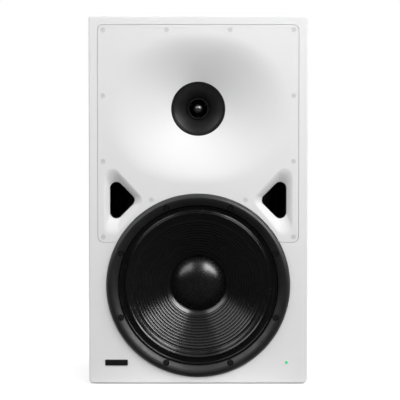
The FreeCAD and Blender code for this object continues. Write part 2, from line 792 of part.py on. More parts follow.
def make_waveguide():
    """Waveguide plate: horn, two flared port mouths, flange and screw sinks."""
    plate = prism("waveguide_blank", plate_outline(0), front_y, d.plate_thick)
    cut = draw_circle(add_sketch(plate, "XZ_Plane"), 0, woofer_z, d.bezel_radius + d.plate_groove)
    pocket(plate, cut, d.plate_thick)
    flange = doc.addObject("Part::Cylinder", "throat_flange")
    bind(flange, "Radius", d.throat_flange)
    bind(flange, "Height", d.throat_flange_thick + d.horn_wall)
    place(flange, 0, front_y + d.horn_depth - d.horn_wall, tweeter_z, FACING_BACK)
    wall = d.horn_wall.value
    outside = [plate, flange, solid_feature("horn_outside", horn_solid(wall))]
    inside = [solid_feature("horn_inside", horn_solid(0))]
    for side in (-1, 1):
        outside.append(solid_feature("port_mouth_outside", port_mouth_solid(side, wall)))
        inside.append(solid_feature("port_mouth_inside", port_mouth_solid(side, 0)))
    bore = doc.addObject("Part::Cylinder", "throat_bore")
    bind(bore, "Radius", d.throat_radius)
    bind(bore, "Height", d.throat_flange_thick + 2)
    place(bore, 0, front_y + d.horn_depth - 1, tweeter_z, FACING_BACK)
    sink = turned("screw_sink", [(0, -1), (d.plate_screw_head + 1, -1), (d.plate_screw_head + 0.2, 0),
                                 (d.plate_screw_radius + 0.2, d.plate_screw_head - d.plate_screw_radius),
                                 (d.plate_screw_radius + 0.2, d.plate_thick + 1), (0, d.plate_thick + 1)])
    spots = [(x, front_y, z) for x, z in plate_screw_spots()]
    inside += [bore, group("screw_sinks", sink, spots, FACING_BACK)]
    boss = turned("boss_hole", [(0, 0), (1.5 + d.thread_play, 0), (1.5 + d.thread_play, 20), (0, 20)])
    spots = [(x, front_y + d.horn_depth, z) for x, z in insert_screw_spots()]
    inside.append(group("boss_holes", boss, spots, FACING_BACK))
    body = doc.addObject("Part::MultiFuse", "waveguide_body")
    body.Shapes = outside
    tools = doc.addObject("Part::Compound", "waveguide_openings")
    tools.Links = inside
    return joined("Cut", "waveguide_plate", body, tools)


def make_waveguide_parts():
    """Waveguide plate, its seal and its screws."""
    parts = [make_waveguide()]
    seal = prism("waveguide_gasket", plate_outline(-0.5), front_y + d.plate_thick, d.gasket_thick)
    middle = draw(add_sketch(seal, "XZ_Plane"), plate_outline(-0.5 - d.gasket_width * 0.6))
    pocket(seal, middle, d.gasket_thick)
    clear = draw_circle(add_sketch(seal, "XZ_Plane"), 0, woofer_z, d.bezel_radius + 2)
    pocket(seal, clear, d.gasket_thick)
    parts.append(seal)
    head, shank = d.plate_screw_head, d.plate_screw_radius
    screw = turned("plate_screw", [(0, 0.2), (head, 0.2), (shank, 0.2 + head - shank),
                                   (shank, d.plate_screw_length - 2), (0, d.plate_screw_length)])
    socket = draw(add_sketch(screw, "XY_Plane", 0.2), polygon(0, 0, head * 0.45, 6))
    pocket(screw, socket, 1.2, True)
    spots = [(x, front_y, z) for x, z in plate_screw_spots()]
    parts.append(group("waveguide_screws", screw, spots, FACING_BACK))
    return parts


# Tweeter: throat insert and compression driver

def insert_screw_spots():
    """Screws that hold the throat insert to the waveguide, as (x, z)."""
    reach = (d.throat_radius + d.throat_flange) / 2 * ROOT_HALF
    return [(sx * reach, tweeter_z + sz * reach) for sx in (-1, 1) for sz in (-1, 1)]


def driver_bolt_spots():
    """Bolts that hold the driver to the throat insert, as (x, z)."""
    reach = d.driver_bolt_circle
    return [(reach, tweeter_z), (-reach, tweeter_z), (0, tweeter_z + reach), (0, tweeter_z - reach)]


def make_tweeter():
    """Throat insert and the compression driver behind it."""
    lip = d.horn_depth
    seat = lip + d.throat_flange_thick
    end = lip + d.insert_depth
    mouth = d.throat_radius - d.lip_width
    rim = d.exit_radius + d.exit_rim
    exit_r = d.exit_radius
    outer = d.throat_radius - d.fit_gap
    flange = d.throat_flange - 4
    parts = []
    insert = turned("throat_insert", [
        (mouth, lip), (outer, lip), (outer, seat), (flange, seat), (flange, seat + 5),
        (rim + 16, seat + 5), (rim + 5, end - 8), (d.driver_radius, end - 8), (d.driver_radius, end),
        (exit_r, end), (exit_r, end - 9), (rim, end - 9), (rim, end - 7.5), (rim + 1.5, end - 7.5),
        through((mouth + rim) / 2 - 2.5, lip + d.insert_depth * 0.42)], 0, front_y, tweeter_z)
    drill_ring(insert, insert_screw_spots(), 1.5 + d.thread_play, seat, 5)
    drill_ring(insert, driver_bolt_spots(), 2.5 + d.thread_play, end - 8, 8)
    parts.append(insert)
    screw = turned("insert_screw", [(0, 0), (1.5, 0), (1.5, 8), (3, 8), (3, 10), (0, 10)])
    spots = [(x, front_y + seat - 3, z) for x, z in insert_screw_spots()]
    parts.append(group("insert_screws", screw, spots, FACING_BACK))

    coil = d.tweeter_coil_radius
    pole = coil - d.fit_gap - 0.1
    gap = coil + d.tweeter_coil_wall + d.fit_gap + 0.1
    magnet_at = end + d.driver_plate
    top_at = magnet_at + d.driver_magnet_thick
    back = top_at + d.driver_top_thick
    plug_r = pole - 3.5
    core = turned("driver_pole_plate", [
        (exit_r, end), (d.driver_radius, end), (d.driver_radius, magnet_at), (pole, magnet_at),
        (pole, back), (plug_r, back), (plug_r, back - 8), (exit_r + 1.5, back - 8)], 0, front_y, tweeter_z)
    drill_ring(core, driver_bolt_spots(), 2.5 + d.thread_play, end, 9)
    parts.append(core)
    magnet_in = pole + 9
    parts.append(turned("driver_magnet", [
        (magnet_in, magnet_at), (d.driver_radius, magnet_at), (d.driver_radius, top_at),
        (magnet_in, top_at)], 0, front_y, tweeter_z))
    parts.append(turned("driver_top_plate", [
        (gap, top_at), (d.driver_radius, top_at), (d.driver_radius, back), (gap, back)],
        0, front_y, tweeter_z))
    parts.append(make_phase_plug(plug_r, back))
    skin = d.tweeter_skin
    edge = back + d.plug_gap
    rim = coil + d.tweeter_coil_wall
    inside, outside = dome(coil, edge, d.tweeter_dome), dome(rim, edge + skin, d.tweeter_dome)
    parts.append(turned("tweeter_diaphragm", inside + [(rim, edge)] + outside[::-1], 0, front_y, tweeter_z))
    parts.append(turned("tweeter_voice_coil", [
        (coil, edge - 5), (rim, edge - 5), (rim, edge), (coil, edge)], 0, front_y, tweeter_z))
    hold = rim + d.fit_gap
    rest = back + d.plug_gap
    parts.append(turned("tweeter_surround", [
        (hold, rest), (hold + 1, rest), through(hold + 2.5, rest - 0.7), (hold + 4, rest), (hold + 9, rest),
        (hold + 9, rest + skin), (hold + 4, rest + skin), through(hold + 2.5, rest + skin - 0.7),
        (hold + 1, rest + skin), (hold, rest + skin)], 0, front_y, tweeter_z))
    clamp = hold + 4.5
    parts.append(turned("tweeter_clamp_ring", [
        (clamp, back), (hold + 9.5, back), (hold + 9.5, rest + skin + 2), (clamp, rest + skin + 2),
        (clamp, rest + skin), (hold + 9, rest + skin), (hold + 9, rest), (clamp, rest)],
        0, front_y, tweeter_z))
    wall = d.driver_cover_wall
    far = back + d.driver_cover_depth
    outer = d.driver_radius
    parts.append(turned("driver_rear_cover", [
        (outer - wall, back), (outer, back), (outer, far - 4), through(outer - 1.2, far - 1.2),
        (outer - 4, far), (0, far), (0, far - wall), (outer - wall, far - wall)], 0, front_y, tweeter_z))
    bolt = turned("driver_bolt", [(0, 0), (4.2, 0), (4.2, 4), (2.5, 4), (2.5, 4 + 8 + 8), (0, 4 + 8 + 8)])
    spots = [(x, front_y + end - 12, z) for x, z in driver_bolt_spots()]
    parts.append(group("driver_bolts", bolt, spots, FACING_BACK))
    return parts


def make_phase_plug(radius, back):
    """Phase plug: an outer ring, a bullet that reaches into the throat and three webs."""
    ring = turned("phase_plug_ring", [
        (radius - 4, back - 8), (radius, back - 8), (radius, back), (radius - 4, back + 0.2)])
    tip = d.plug_tip
    nose = back - d.plug_length
    bullet = turned("phase_plug_bullet", [
        (0, nose), (tip * 0.15, nose), through(tip * 0.74, nose + tip * 0.33), (tip, nose + tip),
        (tip, back - d.plug_waist), (radius - 7, back - 3), (radius - 7, back + 3), (0, back + 5.5)])
    web = box("phase_plug_web", tip * 0.3, -0.8, back - 7, radius - 2 - tip * 0.3, 1.6, 5)
    webs = []
    for turn in (90, 210, 330):
        copy = doc.addObject("App::Link", "phase_plug_web_copy")
        copy.LinkedObject = web
        copy.LinkTransform = True
        copy.Placement = FreeCAD.Placement(FreeCAD.Vector(), FreeCAD.Rotation(FreeCAD.Vector(0, 0, 1), turn))
        webs.append(copy)
    for body in (ring, bullet):
        place(body)
    plug = doc.addObject("Part::MultiFuse", "phase_plug")
    plug.Label = "phase_plug"
    plug.Shapes = [ring, bullet] + webs
    place(plug, 0, front_y, tweeter_z, FACING_BACK)
    return plug


def drill_ring(body, spots, radius, start, length):
    """Drills round holes at tweeter places (x, z) along the depth."""
    sketch = add_sketch(body, "XY_Plane", start)
    for x, z in spots:
        draw_circle(sketch, x, tweeter_z - z, radius)
    pocket(body, sketch, length, True)


# Ports

def make_port(label, side):
    """Reflex duct behind one port mouth."""
    start = front_y + d.port_mouth_depth
    outer = port_outline(side, d.port_flare - d.fit_gap, d.port_corner + d.port_wall)
    body = prism(label, outer, start, d.port_collar)
    tube = port_outline(side, d.port_wall, d.port_corner + d.port_wall)
    pad(body, draw(add_sketch(body, "XZ_Plane"), tube), d.port_length)
    pocket(body, draw(add_sketch(body, "XZ_Plane"), port_outline(side, 0, d.port_corner)), d.port_length)
    return body


# Woofer

def cone_front(radius):
    """Depth of the cone's front face at a radius."""
    neck = d.former_radius + d.former_wall
    share = (d.cone_radius - d.cone_land - radius) / (d.cone_radius - d.cone_land - neck)
    return d.surround_depth + d.fit_gap + d.cone_depth * share


def make_cone():
    """Woofer cone with its concentric ridges."""
    neck = d.former_radius + d.former_wall
    edge = d.surround_depth + d.fit_gap
    land = d.cone_radius - d.cone_land
    front = [(neck, cone_front(neck))]
    for step in range(CONE_RIBS):
        start = d.rib_first + step * d.rib_pitch - d.rib_pitch / 2
        stop = start + d.rib_pitch
        crest = (start + stop) / 2
        if step == 0:
            front.append((start, cone_front(start)))
        front.append(through(crest, cone_front(crest) - d.rib_height))
        front.append((stop, cone_front(stop)))
    front += [(land, edge), (d.cone_radius, edge)]
    back = [(d.cone_radius, edge + d.cone_thick), (land - 1, edge + d.cone_thick),
            (neck, cone_front(neck) + d.cone_thick * 1.2)]
    return turned("woofer_cone", front + back, 0, front_y, woofer_z)


def make_surround():
    """Woofer surround: a bead, a roll and two flat rims."""
    seat = d.surround_depth
    face = seat - d.surround_thick
    bead, roll = d.bead_radius, d.roll_radius
    outer = d.bezel_inner + 1.2
    inner = d.cone_radius - d.cone_land + 0.5

    def path(level):
        return [(outer, level), (bead + d.bead_half, level), through(bead, level - d.bead_height),
                (bead - d.bead_half, level), (roll + d.roll_half, level),
                through(roll, level - d.roll_height), (roll - d.roll_half, level), (inner, level)]

    return turned("woofer_surround", path(face) + path(seat)[::-1], 0, front_y, woofer_z)


def make_spider():
    """Corrugated cloth disc that centres the voice coil."""
    inner = d.former_radius + d.former_wall + d.fit_gap
    first, last = inner + 4, d.spider_outer - 9
    half = (last - first) / SPIDER_WAVES

    def path(level):
        line = [(inner, level), (first, level)]
        for step in range(SPIDER_WAVES):
            bow = d.spider_wave if step % 2 else -d.spider_wave
            line.append(through(first + half * (step + 0.5), level + bow))
            line.append((first + half * (step + 1), level))
        return line + [(d.spider_outer, level)]

    seat = d.spider_depth
    return turned("woofer_spider", path(seat - d.spider_thick) + path(seat)[::-1], 0, front_y, woofer_z)


def make_woofer():
    """Woofer frame, trim ring, screws, moving parts and magnet."""
    parts = []
    flange, basket, wall = d.flange_thick, d.basket_radius, d.basket_wall
    step = d.bezel_inner + 1.7
    ledge = d.spider_outer + 1
    base = d.base_depth
    opening = d.former_radius + d.former_wall + d.winding_wall + 18
    frame = turned("woofer_frame", [
        (step, 0), (d.bezel_radius, 0), (d.bezel_radius, flange), (basket, flange), (basket, flange + 11),
        (d.base_radius, base - 9), (d.base_radius, base), (opening, base), (opening, base - 6),
        (ledge - 9, base - 6), (ledge - 9, d.spider_depth), (ledge, d.spider_depth),
        (basket - wall, flange + 9), (basket - wall, d.surround_depth), (step, d.surround_depth)],
        0, front_y, woofer_z)
    high, low = basket - wall - 3, d.base_radius + 4
    spread = math.pi / BASKET_WINDOWS * 0.62
    corners = [(low * math.cos(spread), -(low * math.sin(spread))),
               (high * math.cos(spread), -(high * math.sin(spread))),
               (high * math.cos(spread), high * math.sin(spread)),
               (low * math.cos(spread), low * math.sin(spread))]
    window = draw(add_sketch(frame, "XY_Plane", flange + 9.5), rounded(corners, 4))
    cut = pocket(frame, window, base - flange - 19, True)
    ring_pattern(frame, cut, BASKET_WINDOWS)
    drill_screws(frame, d.woofer_screw_radius + 0.2, flange)
    drill_screws(frame, d.woofer_screw_head + 0.4, d.head_sink)
    parts.append(frame)

    seal = turned("woofer_gasket", [
        (basket + 1.5, flange), (d.bezel_radius, flange), (d.bezel_radius, flange + d.gasket_thick),
        (basket + 1.5, flange + d.gasket_thick)], 0, front_y, woofer_z)
    drill_screws(seal, d.woofer_screw_radius + 0.4, flange + d.gasket_thick)
    parts.append(seal)

    proud, crest = d.bezel_proud, d.bezel_crest
    lip = d.surround_depth - d.surround_thick - 0.2
    bezel = turned("woofer_trim_ring", [
        (d.bezel_radius, 0), (d.bezel_radius, -proud * 0.25),
        through(d.bezel_radius - 1.9, -proud * 0.76), (crest, -proud),
        through((crest + d.bezel_inner) / 2 + 0.8, -proud * 0.68), (d.bezel_inner, -proud * 0.15),
        (d.bezel_inner, lip), (step - 0.2, lip), (step - 0.2, 0)], 0, front_y, woofer_z)
    drill_screws(bezel, d.woofer_screw_head + 0.6, proud * 2, -proud)
    parts.append(bezel)

    head, shank = d.woofer_screw_head, d.woofer_screw_radius
    top = d.head_sink - 4
    tail = d.head_sink + d.woofer_screw_length
    screw = turned("woofer_screw", [
        (0, top), (head - 0.5, top), (head, top + 0.5), (head, d.head_sink), (shank, d.head_sink),
        (shank, tail - 1), (shank - 1, tail), (0, tail)])
    socket = draw(add_sketch(screw, "XY_Plane", top), polygon(0, 0, head * 0.56, 6))
    pocket(screw, socket, 2.5, True)
    spots = [(x, front_y, z) for x, z in woofer_screw_spots()]
    parts.append(group("woofer_screws", screw, spots, FACING_BACK))
    parts += [make_surround(), make_cone(), make_spider()]

    cap, rise, skin = d.cap_radius, d.cap_rise, d.surround_thick
    edge = cone_front(cap) - 0.1
    outer, inner = dome(cap, edge - skin, -rise), dome(cap - 1.5, edge, -rise)
    parts.append(turned("woofer_dust_cap", outer + [(cap, edge)] + inner[::-1], 0, front_y, woofer_z))
    inside, outside = d.former_radius, d.former_radius + d.former_wall
    neck = cone_front(outside)
    parts.append(turned("woofer_coil_former", [
        (inside, neck - 1), (outside, neck - 1), (outside, neck + d.former_length),
        (inside, neck + d.former_length)], 0, front_y, woofer_z))
    coil_end = base + d.top_plate_thick / 2 + d.winding_length / 2
    winding = outside + d.winding_wall
    parts.append(turned("woofer_voice_coil", [
        (outside, coil_end - d.winding_length), (winding, coil_end - d.winding_length),
        (winding, coil_end), (outside, coil_end)], 0, front_y, woofer_z))
    magnet_at = base + d.top_plate_thick
    yoke_at = magnet_at + d.magnet_thick
    rim = d.top_plate_radius
    parts.append(turned("woofer_top_plate", [
        (winding + d.coil_gap, base), (rim, base), (rim, magnet_at), (winding + d.coil_gap, magnet_at)],
        0, front_y, woofer_z))
    parts.append(turned("woofer_magnet", [
        (d.magnet_inner, magnet_at), (rim, magnet_at), (rim, yoke_at), (d.magnet_inner, yoke_at)],
        0, front_y, woofer_z))
    pole = inside - d.coil_gap
    parts.append(turned("woofer_yoke", [
        (d.vent_radius, base - 1), (pole, base - 1), (pole, yoke_at), (rim - 4, yoke_at),
        (rim - 4, yoke_at + d.yoke_thick), (d.vent_radius, yoke_at + d.yoke_thick)],
        0, front_y, woofer_z))
    return parts


def drill_screws(body, radius, length, start=0):
    """Drills the ring of woofer screw holes."""
    sketch = add_sketch(body, "XY_Plane", start)
    for x, z in woofer_screw_spots():
        draw_circle(sketch, x, woofer_z - z, radius)
    pocket(body, sketch, length, True)


# Front details

def make_front_details():
    """Status light and badge plate."""
    lamp = d.led_radius - d.thread_play
    led = turned("status_light", dome(lamp, as_size(0.2), as_size(-0.8)) + [(lamp, 8), (0, 8)],
                 led_x, front_y, lamp_z)
    plate = rectangle(d.badge_inset - half_width, lamp_z, d.badge_width, d.badge_height)
    return [led, prism("name_badge", rounded(plate, 1), front_y - d.badge_thick, d.badge_thick)]


# Amplifier and rear panel

def amp_screw_spots():
    """Screws of the amplifier panel as (x, z)."""
    reach = (d.amp_width - d.amp_overlap) / 2
    low = amp_bottom + d.amp_overlap / 2
    step = (d.amp_height - d.amp_overlap) / 3
    spots = [(side * reach, low + k * step) for side in (-1, 1) for k in range(4)]
    return spots + [(0, low), (0, low + 3 * step)]


def standoff_spots():
    """Circuit board standoffs as (x, z)."""
    reach_x, reach_z = d.board_width / 2 - 8, board_height / 2 - 8
    return [(sx * reach_x, board_z + sz * reach_z) for sx in (-1, 1) for sz in (-1, 1)]


sink_low = control_z + d.sink_above
sink_height = amp_bottom + d.amp_height - d.sink_margin - sink_low
sink_z = sink_low + sink_height / 2
board_height = sink_height
board_z = sink_z
switch_half_x = d.rocker_width / 2 + d.rocker_play + d.shell_wall
switch_half_z = d.rocker_height / 2 + d.rocker_play + d.shell_wall


def inlet_outline(grow):
    """The mains inlet's opening with its two cut corners."""
    half, tall = d.inlet_width / 2 + grow, d.inlet_height / 2 + grow
    cut = d.inlet_height * 0.3
    x = -d.inlet_x
    return rounded([(x - half, row_z - tall), (x + half, row_z - tall), (x + half, row_z + tall - cut),
                    (x + half - cut, row_z + tall), (x - half + cut, row_z + tall),
                    (x - half, row_z + tall - cut)], 1)


def make_amp_panel():
    """Metal panel that closes the back."""
    outline = rounded(rectangle(0, amp_bottom + d.amp_height / 2, d.amp_width, d.amp_height), 5)
    body = prism("amp_panel", outline, back_y, d.amp_thick)
    holes = add_sketch(body, "XZ_Plane")
    for x, z in amp_screw_spots():
        draw_circle(holes, x, z, 2)
    draw_circle(holes, d.signal_x, row_z, d.signal_bore + d.shell_wall + d.fit_gap)
    draw_circle(holes, d.signal_x, control_z, d.spindle_radius + 1)
    draw(holes, inlet_outline(d.shell_wall + d.fit_gap))
    wide, tall = 2 * (switch_half_x + d.fit_gap), 2 * (switch_half_z + d.fit_gap)
    draw(holes, rectangle(-d.inlet_x, control_z, wide, tall))
    pocket(body, holes, d.amp_thick)
    return body


def make_heat_sink():
    """Base plate with upright fins."""
    base = rectangle(0, sink_z, d.sink_width, sink_height)
    body = prism("heat_sink", base, panel_y, d.sink_base)
    count = int(d.fin_count.value)
    pitch = (d.sink_width - d.fin_thick) / (count - 1)
    fins = add_sketch(body, "XZ_Plane")
    for step in range(count):
        middle = -d.sink_width / 2 + d.fin_thick / 2 + step * pitch
        draw(fins, rectangle(middle, sink_z, d.fin_thick, sink_height))
    pad(body, fins, d.sink_depth)
    return body


def make_inlet():
    """Mains inlet and its three blades."""
    flange = rounded(rectangle(-d.inlet_x, row_z, d.inlet_width + 24, d.inlet_height + 8), 4)
    body = prism("mains_inlet", flange, panel_y, d.flange_sheet)
    shell = d.inlet_depth + 3
    sketch = draw(add_sketch(body, "XZ_Plane", -d.flange_sheet), inlet_outline(d.shell_wall))
    pad(body, sketch, shell, False)
    pocket(body, draw(add_sketch(body, "XZ_Plane", -d.flange_sheet), inlet_outline(0)), d.inlet_depth, True)
    floor_y = panel_y + d.flange_sheet - d.inlet_depth
    blade = box("inlet_blade", -1, -11, -2, 2, 11, 4)
    spots = [(-d.inlet_x - 7, row_z - 1.5), (-d.inlet_x + 7, row_z - 1.5), (-d.inlet_x, row_z + 2.5)]
    pins = group("inlet_pins", blade, [(x - 1, floor_y, z - 2) for x, z in spots], UPRIGHT)
    return [body, pins]


def make_signal_socket():
    """Round signal input: a shell round a core with three contact holes."""
    x = d.signal_x
    body = prism("signal_input_socket", rounded(rectangle(x, row_z, 26, 31), 3), panel_y, d.flange_sheet)
    lift = -d.flange_sheet
    outer = d.signal_bore + d.shell_wall
    pad(body, draw_circle(add_sketch(body, "XZ_Plane", lift), x, row_z, outer), d.signal_depth + 6, False)
    ring = draw_circle(add_sketch(body, "XZ_Plane", lift), x, row_z, d.signal_bore)
    draw_circle(ring, x, row_z, d.signal_core)
    pocket(body, ring, d.signal_depth, True)
    holes = add_sketch(body, "XZ_Plane", lift)
    for turn in (math.pi / 2, math.pi * 7 / 6, math.pi * 11 / 6):
        draw_circle(holes, x + 4.2 * math.cos(turn), row_z + 4.2 * math.sin(turn), 1.3)
    pocket(body, holes, d.signal_depth - 2, True)
    return body


def make_switch():
    """Housing of the power switch and its rocker."""
    x = -d.inlet_x
    flange = rounded(rectangle(x, control_z, 2 * switch_half_x + 4, 2 * switch_half_z + 4), 1.5)
    body = prism("power_switch_housing", flange, panel_y, d.flange_sheet)
    lift = -d.flange_sheet
    shell = rectangle(x, control_z, 2 * switch_half_x, 2 * switch_half_z)
    pad(body, draw(add_sketch(body, "XZ_Plane", lift), shell), 18, False)
    well = rectangle(x, control_z, d.rocker_width + 2 * d.rocker_play, d.rocker_height + 2 * d.rocker_play)
    pocket(body, draw(add_sketch(body, "XZ_Plane", lift), well), 13, True)
    rocker = new_body("power_rocker")
    half = d.rocker_height / 2
    reach = d.rocker_reach
    side = [(-5, -half * 0.5), (reach * 0.4, -half), (reach + 1.2, -half), (reach, 0),
            (reach + 1.2, half), (reach * 0.4, half), (-5, half * 0.5)]
    pad(rocker, draw(add_sketch(rocker, "YZ_Plane", -d.rocker_width / 2), side), d.rocker_width, False)
    tilt = FreeCAD.Rotation(FreeCAD.Vector(1, 0, 0), d.rocker_tilt.value)
    place(rocker, x, panel_y - 0.5, control_z, tilt)
    return [body, rocker]


def make_level_control():
    """Level control and its knob."""
    pot = new_body("level_pot")
    pad(pot, draw(add_sketch(pot, "XZ_Plane"), rectangle(0, 0, 17, 17)), 12)
    spindle = draw_circle(add_sketch(pot, "XZ_Plane", -12), 0, 0, d.spindle_radius)
    pad(pot, spindle, d.amp_thick + d.knob_length - 1.5)
    place(pot, d.signal_x, back_y - 12, control_z)
    bore = d.spindle_radius + d.thread_play
    end = 1 + d.knob_length
    knob = turned("level_knob", [
        (bore, 1), (d.knob_radius, 1), (d.knob_radius, end - 1), (d.knob_radius - 1, end), (0, end),
        (0, end - 2), (bore, end - 2)], d.signal_x, panel_y, control_z)
    mark = rectangle(0, -d.knob_radius * 0.65, 1.2, d.knob_radius * 0.5)
    pocket(knob, draw(add_sketch(knob, "XY_Plane", end), mark), 0.6)
    return [pot, knob]


def make_electronics():
    """Circuit board, standoffs, capacitors and mains transformer."""
    parts = []
    board_y = back_y - d.standoff_length - d.board_sheet
    board = prism("amp_board", rectangle(0, board_z, d.board_width, board_height), board_y, d.board_sheet)
    parts.append(board)
    post = turned("standoff", [(0, 0), (d.standoff_radius, 0), (d.standoff_radius, d.standoff_length),
                               (0, d.standoff_length)])
    spots = [(x, back_y - d.standoff_length, z) for x, z in standoff_spots()]
    parts.append(group("board_standoffs", post, spots, FACING_BACK))
    can = turned("capacitor", [(0, 0), (d.capacitor_radius - 1, 0), (d.capacitor_radius, 1),
                               (d.capacitor_radius, d.capacitor_length), (0, d.capacitor_length)])
    pitch = d.capacitor_radius * 2 + 4
    can_y, can_z = board_y - d.capacitor_length, board_z - board_height / 4
    spots = [((k - 1.5) * pitch, can_y, can_z) for k in range(4)]
    parts.append(group("filter_capacitors", can, spots, FACING_BACK))
    low = floor_z + d.board_thick
    round_edge = d.toroid_height * 0.25
    bore, rim, tall = d.toroid_bore, d.toroid_radius, d.toroid_height
    bow = round_edge * (1 - ROOT_HALF)
    coil_y = back_y - d.board_thick - rim - 40
    ring = turned("mains_transformer", [
        (bore, 0), (rim - round_edge, 0), through(rim - bow, bow), (rim, round_edge),
        (rim, tall - round_edge), through(rim - bow, tall - bow), (rim - round_edge, tall),
        (bore, tall)], 0, coil_y, low, UPRIGHT)
    parts.append(ring)
    parts.append(turned("transformer_clamp", [
        (0, 0), (bore - 0.5, 0), (bore - 0.5, tall), (rim - round_edge - 2, tall),
        (rim - round_edge - 2, tall + 2), (6, tall + 2), (6, tall + 8),
        (0, tall + 8)], 0, coil_y, low, UPRIGHT))
    return parts


def make_rear():
    """Everything on the amplifier panel."""
    parts = [make_amp_panel(), make_heat_sink()]
    head = turned("amp_screw", [
        (0, -2), (2.4, -2), through(3.25, -1.3), (3.6, 0), (1.75, 0), (1.75, 17), (0, 17)])
    socket = draw(add_sketch(head, "XY_Plane", -2), polygon(0, 0, 1.4, 6))
    pocket(head, socket, 1.2, True)
    spots = [(x, panel_y, z) for x, z in amp_screw_spots()]
    parts.append(group("amp_panel_screws", head, spots, FACING_FRONT))
    parts += make_inlet()
    parts.append(make_signal_socket())
    parts += make_switch()
    parts += make_level_control()
    parts += make_electronics()
    return parts


# Inside leads

def lead(label, points):
    """A round lead along straight runs that are joined by tangent arcs."""
    spots = [FreeCAD.Vector(*[as_size(size).value for size in point]) for point in points]
    edges = []
    start = spots[0]
    for before, corner, after in zip(spots, spots[1:], spots[2:]):
        into = (corner - before).normalize()
        out = (after - corner).normalize()
        half = into.getAngle(out) / 2
        cut = 0.45 * min(before.distanceToPoint(corner), corner.distanceToPoint(after))
        first, last = corner - into * cut, corner + out * cut
        way = (out - into).normalize()
        middle = corner + way * (cut / math.sin(half) * (1 - math.cos(half)))
        edges.append(Part.LineSegment(start, first).toShape())
        edges.append(Part.Arc(first, middle, last).toShape())
        start = last
    edges.append(Part.LineSegment(start, spots[-1]).toShape())
    heading = (spots[1] - spots[0]).normalize()
    rim = Part.Wire([Part.Circle(spots[0], heading, d.lead_radius.value).toShape()])
    made = solid_feature(label, Part.Wire(edges).makePipeShell([rim], True, False))
    made.Label = label
    return made


def make_leads():
    """Leads from the circuit board to both drivers, and their terminal strips."""
    board_y = back_y - d.standoff_length - d.board_sheet
    low = board_z - board_height / 2 + 14
    high = board_z + board_height / 2 - 14
    rim = d.top_plate_radius + 0.5
    strip_y = front_y + d.base_depth
    start_z = woofer_z + (rim + d.base_radius) / 2
    woofer_strip = box("woofer_strip", -12, strip_y, woofer_z + rim, 24, 18, d.base_radius - rim - 0.5)
    start_y = strip_y + 18
    span = board_y - start_y
    woofer = lead("woofer_lead", [(0, start_y, start_z), (0, start_y + span * 0.35, start_z),
                                  (0, start_y + span * 0.7, low), (0, board_y, low)])
    driver = d.insert_depth + d.driver_plate + d.driver_magnet_thick + d.driver_top_thick
    tail_y = front_y + d.horn_depth + driver + d.driver_cover_depth
    tail_z = tweeter_z - 21
    tweeter_strip = box("tweeter_strip", -10, tail_y, tail_z - 5, 20, 8, 10)
    start_y = tail_y + 8
    span = board_y - start_y
    tweeter = lead("tweeter_lead", [(0, start_y, tail_z), (0, start_y + span * 0.3, tail_z),
                                    (0, start_y + span * 0.7, high), (0, board_y, high)])
    return [woofer, tweeter, bundle("terminal_strips", [woofer_strip, tweeter_strip])]


def export(parts):
    """Checks every part and writes it to its own file."""
    doc.recompute()
    faulty = [item.Label for item in doc.Objects if {"Invalid", "Error"} & set(item.State)]
    if faulty:
        raise ValueError(f"objects in error: {faulty}")
    os.makedirs("parts", exist_ok=True)
    for part in parts:
        shape = part.Shape
        if shape.isNull() or not shape.isValid() or not shape.Solids:
            raise ValueError(f"{part.Label}: no valid solid")
        shape.exportStep(f"parts/{part.Label}.step")
        print(part.Label, len(shape.Solids), round(shape.Volume / 1000, 1))


PARTS = make_cabinet()
PARTS += make_waveguide_parts()
PARTS += make_tweeter()
PARTS += [make_port("left_port_duct", -1), make_port("right_port_duct", 1)]
PARTS += make_woofer()
PARTS += make_front_details()
PARTS += make_rear()
PARTS += make_leads()
export(PARTS)
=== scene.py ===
"""Dresses a two-way studio monitor loudspeaker and sets up its studio."""

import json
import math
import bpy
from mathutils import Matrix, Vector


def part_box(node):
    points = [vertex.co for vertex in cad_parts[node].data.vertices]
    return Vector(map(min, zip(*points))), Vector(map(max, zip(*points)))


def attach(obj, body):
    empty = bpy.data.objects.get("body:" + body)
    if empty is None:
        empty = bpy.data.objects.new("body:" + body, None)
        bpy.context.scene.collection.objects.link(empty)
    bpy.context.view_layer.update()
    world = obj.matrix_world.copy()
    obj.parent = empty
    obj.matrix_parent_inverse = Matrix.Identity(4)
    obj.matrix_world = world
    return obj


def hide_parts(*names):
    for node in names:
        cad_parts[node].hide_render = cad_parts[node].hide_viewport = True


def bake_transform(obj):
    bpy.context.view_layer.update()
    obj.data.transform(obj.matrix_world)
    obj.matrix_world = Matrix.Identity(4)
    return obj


bl_info = {
    "name": "Studio Monitor Loudspeaker",
    "version": (1, 0, 0),
    "blender": (4, 5, 0),
    "location": "3D View > Sidebar > Monitor",
    "description": "Builds the visible pieces of a two-way studio monitor and its studio",
    "category": "Object",
}

import bmesh
import bpy
from bpy.props import FloatProperty, FloatVectorProperty, IntProperty, PointerProperty
from mathutils import Matrix, Quaternion, Vector
from mathutils.geometry import interpolate_bezier

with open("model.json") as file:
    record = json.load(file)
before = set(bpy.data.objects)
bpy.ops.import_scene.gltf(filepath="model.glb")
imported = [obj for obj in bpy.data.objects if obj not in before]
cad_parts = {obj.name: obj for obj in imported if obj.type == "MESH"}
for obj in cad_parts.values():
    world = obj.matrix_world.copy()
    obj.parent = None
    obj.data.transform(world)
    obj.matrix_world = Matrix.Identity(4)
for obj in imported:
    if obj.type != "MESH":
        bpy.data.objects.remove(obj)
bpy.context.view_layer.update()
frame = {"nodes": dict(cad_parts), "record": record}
MM = 0.001
TOUCHING = 1e-6
SHARP = 35
FULL_TURN = 2 * math.pi
ROOT_2 = math.sqrt(2)


def middle_of(node):
    """Middle of a CAD node's box."""
    low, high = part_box(node)
    return (low + high) / 2


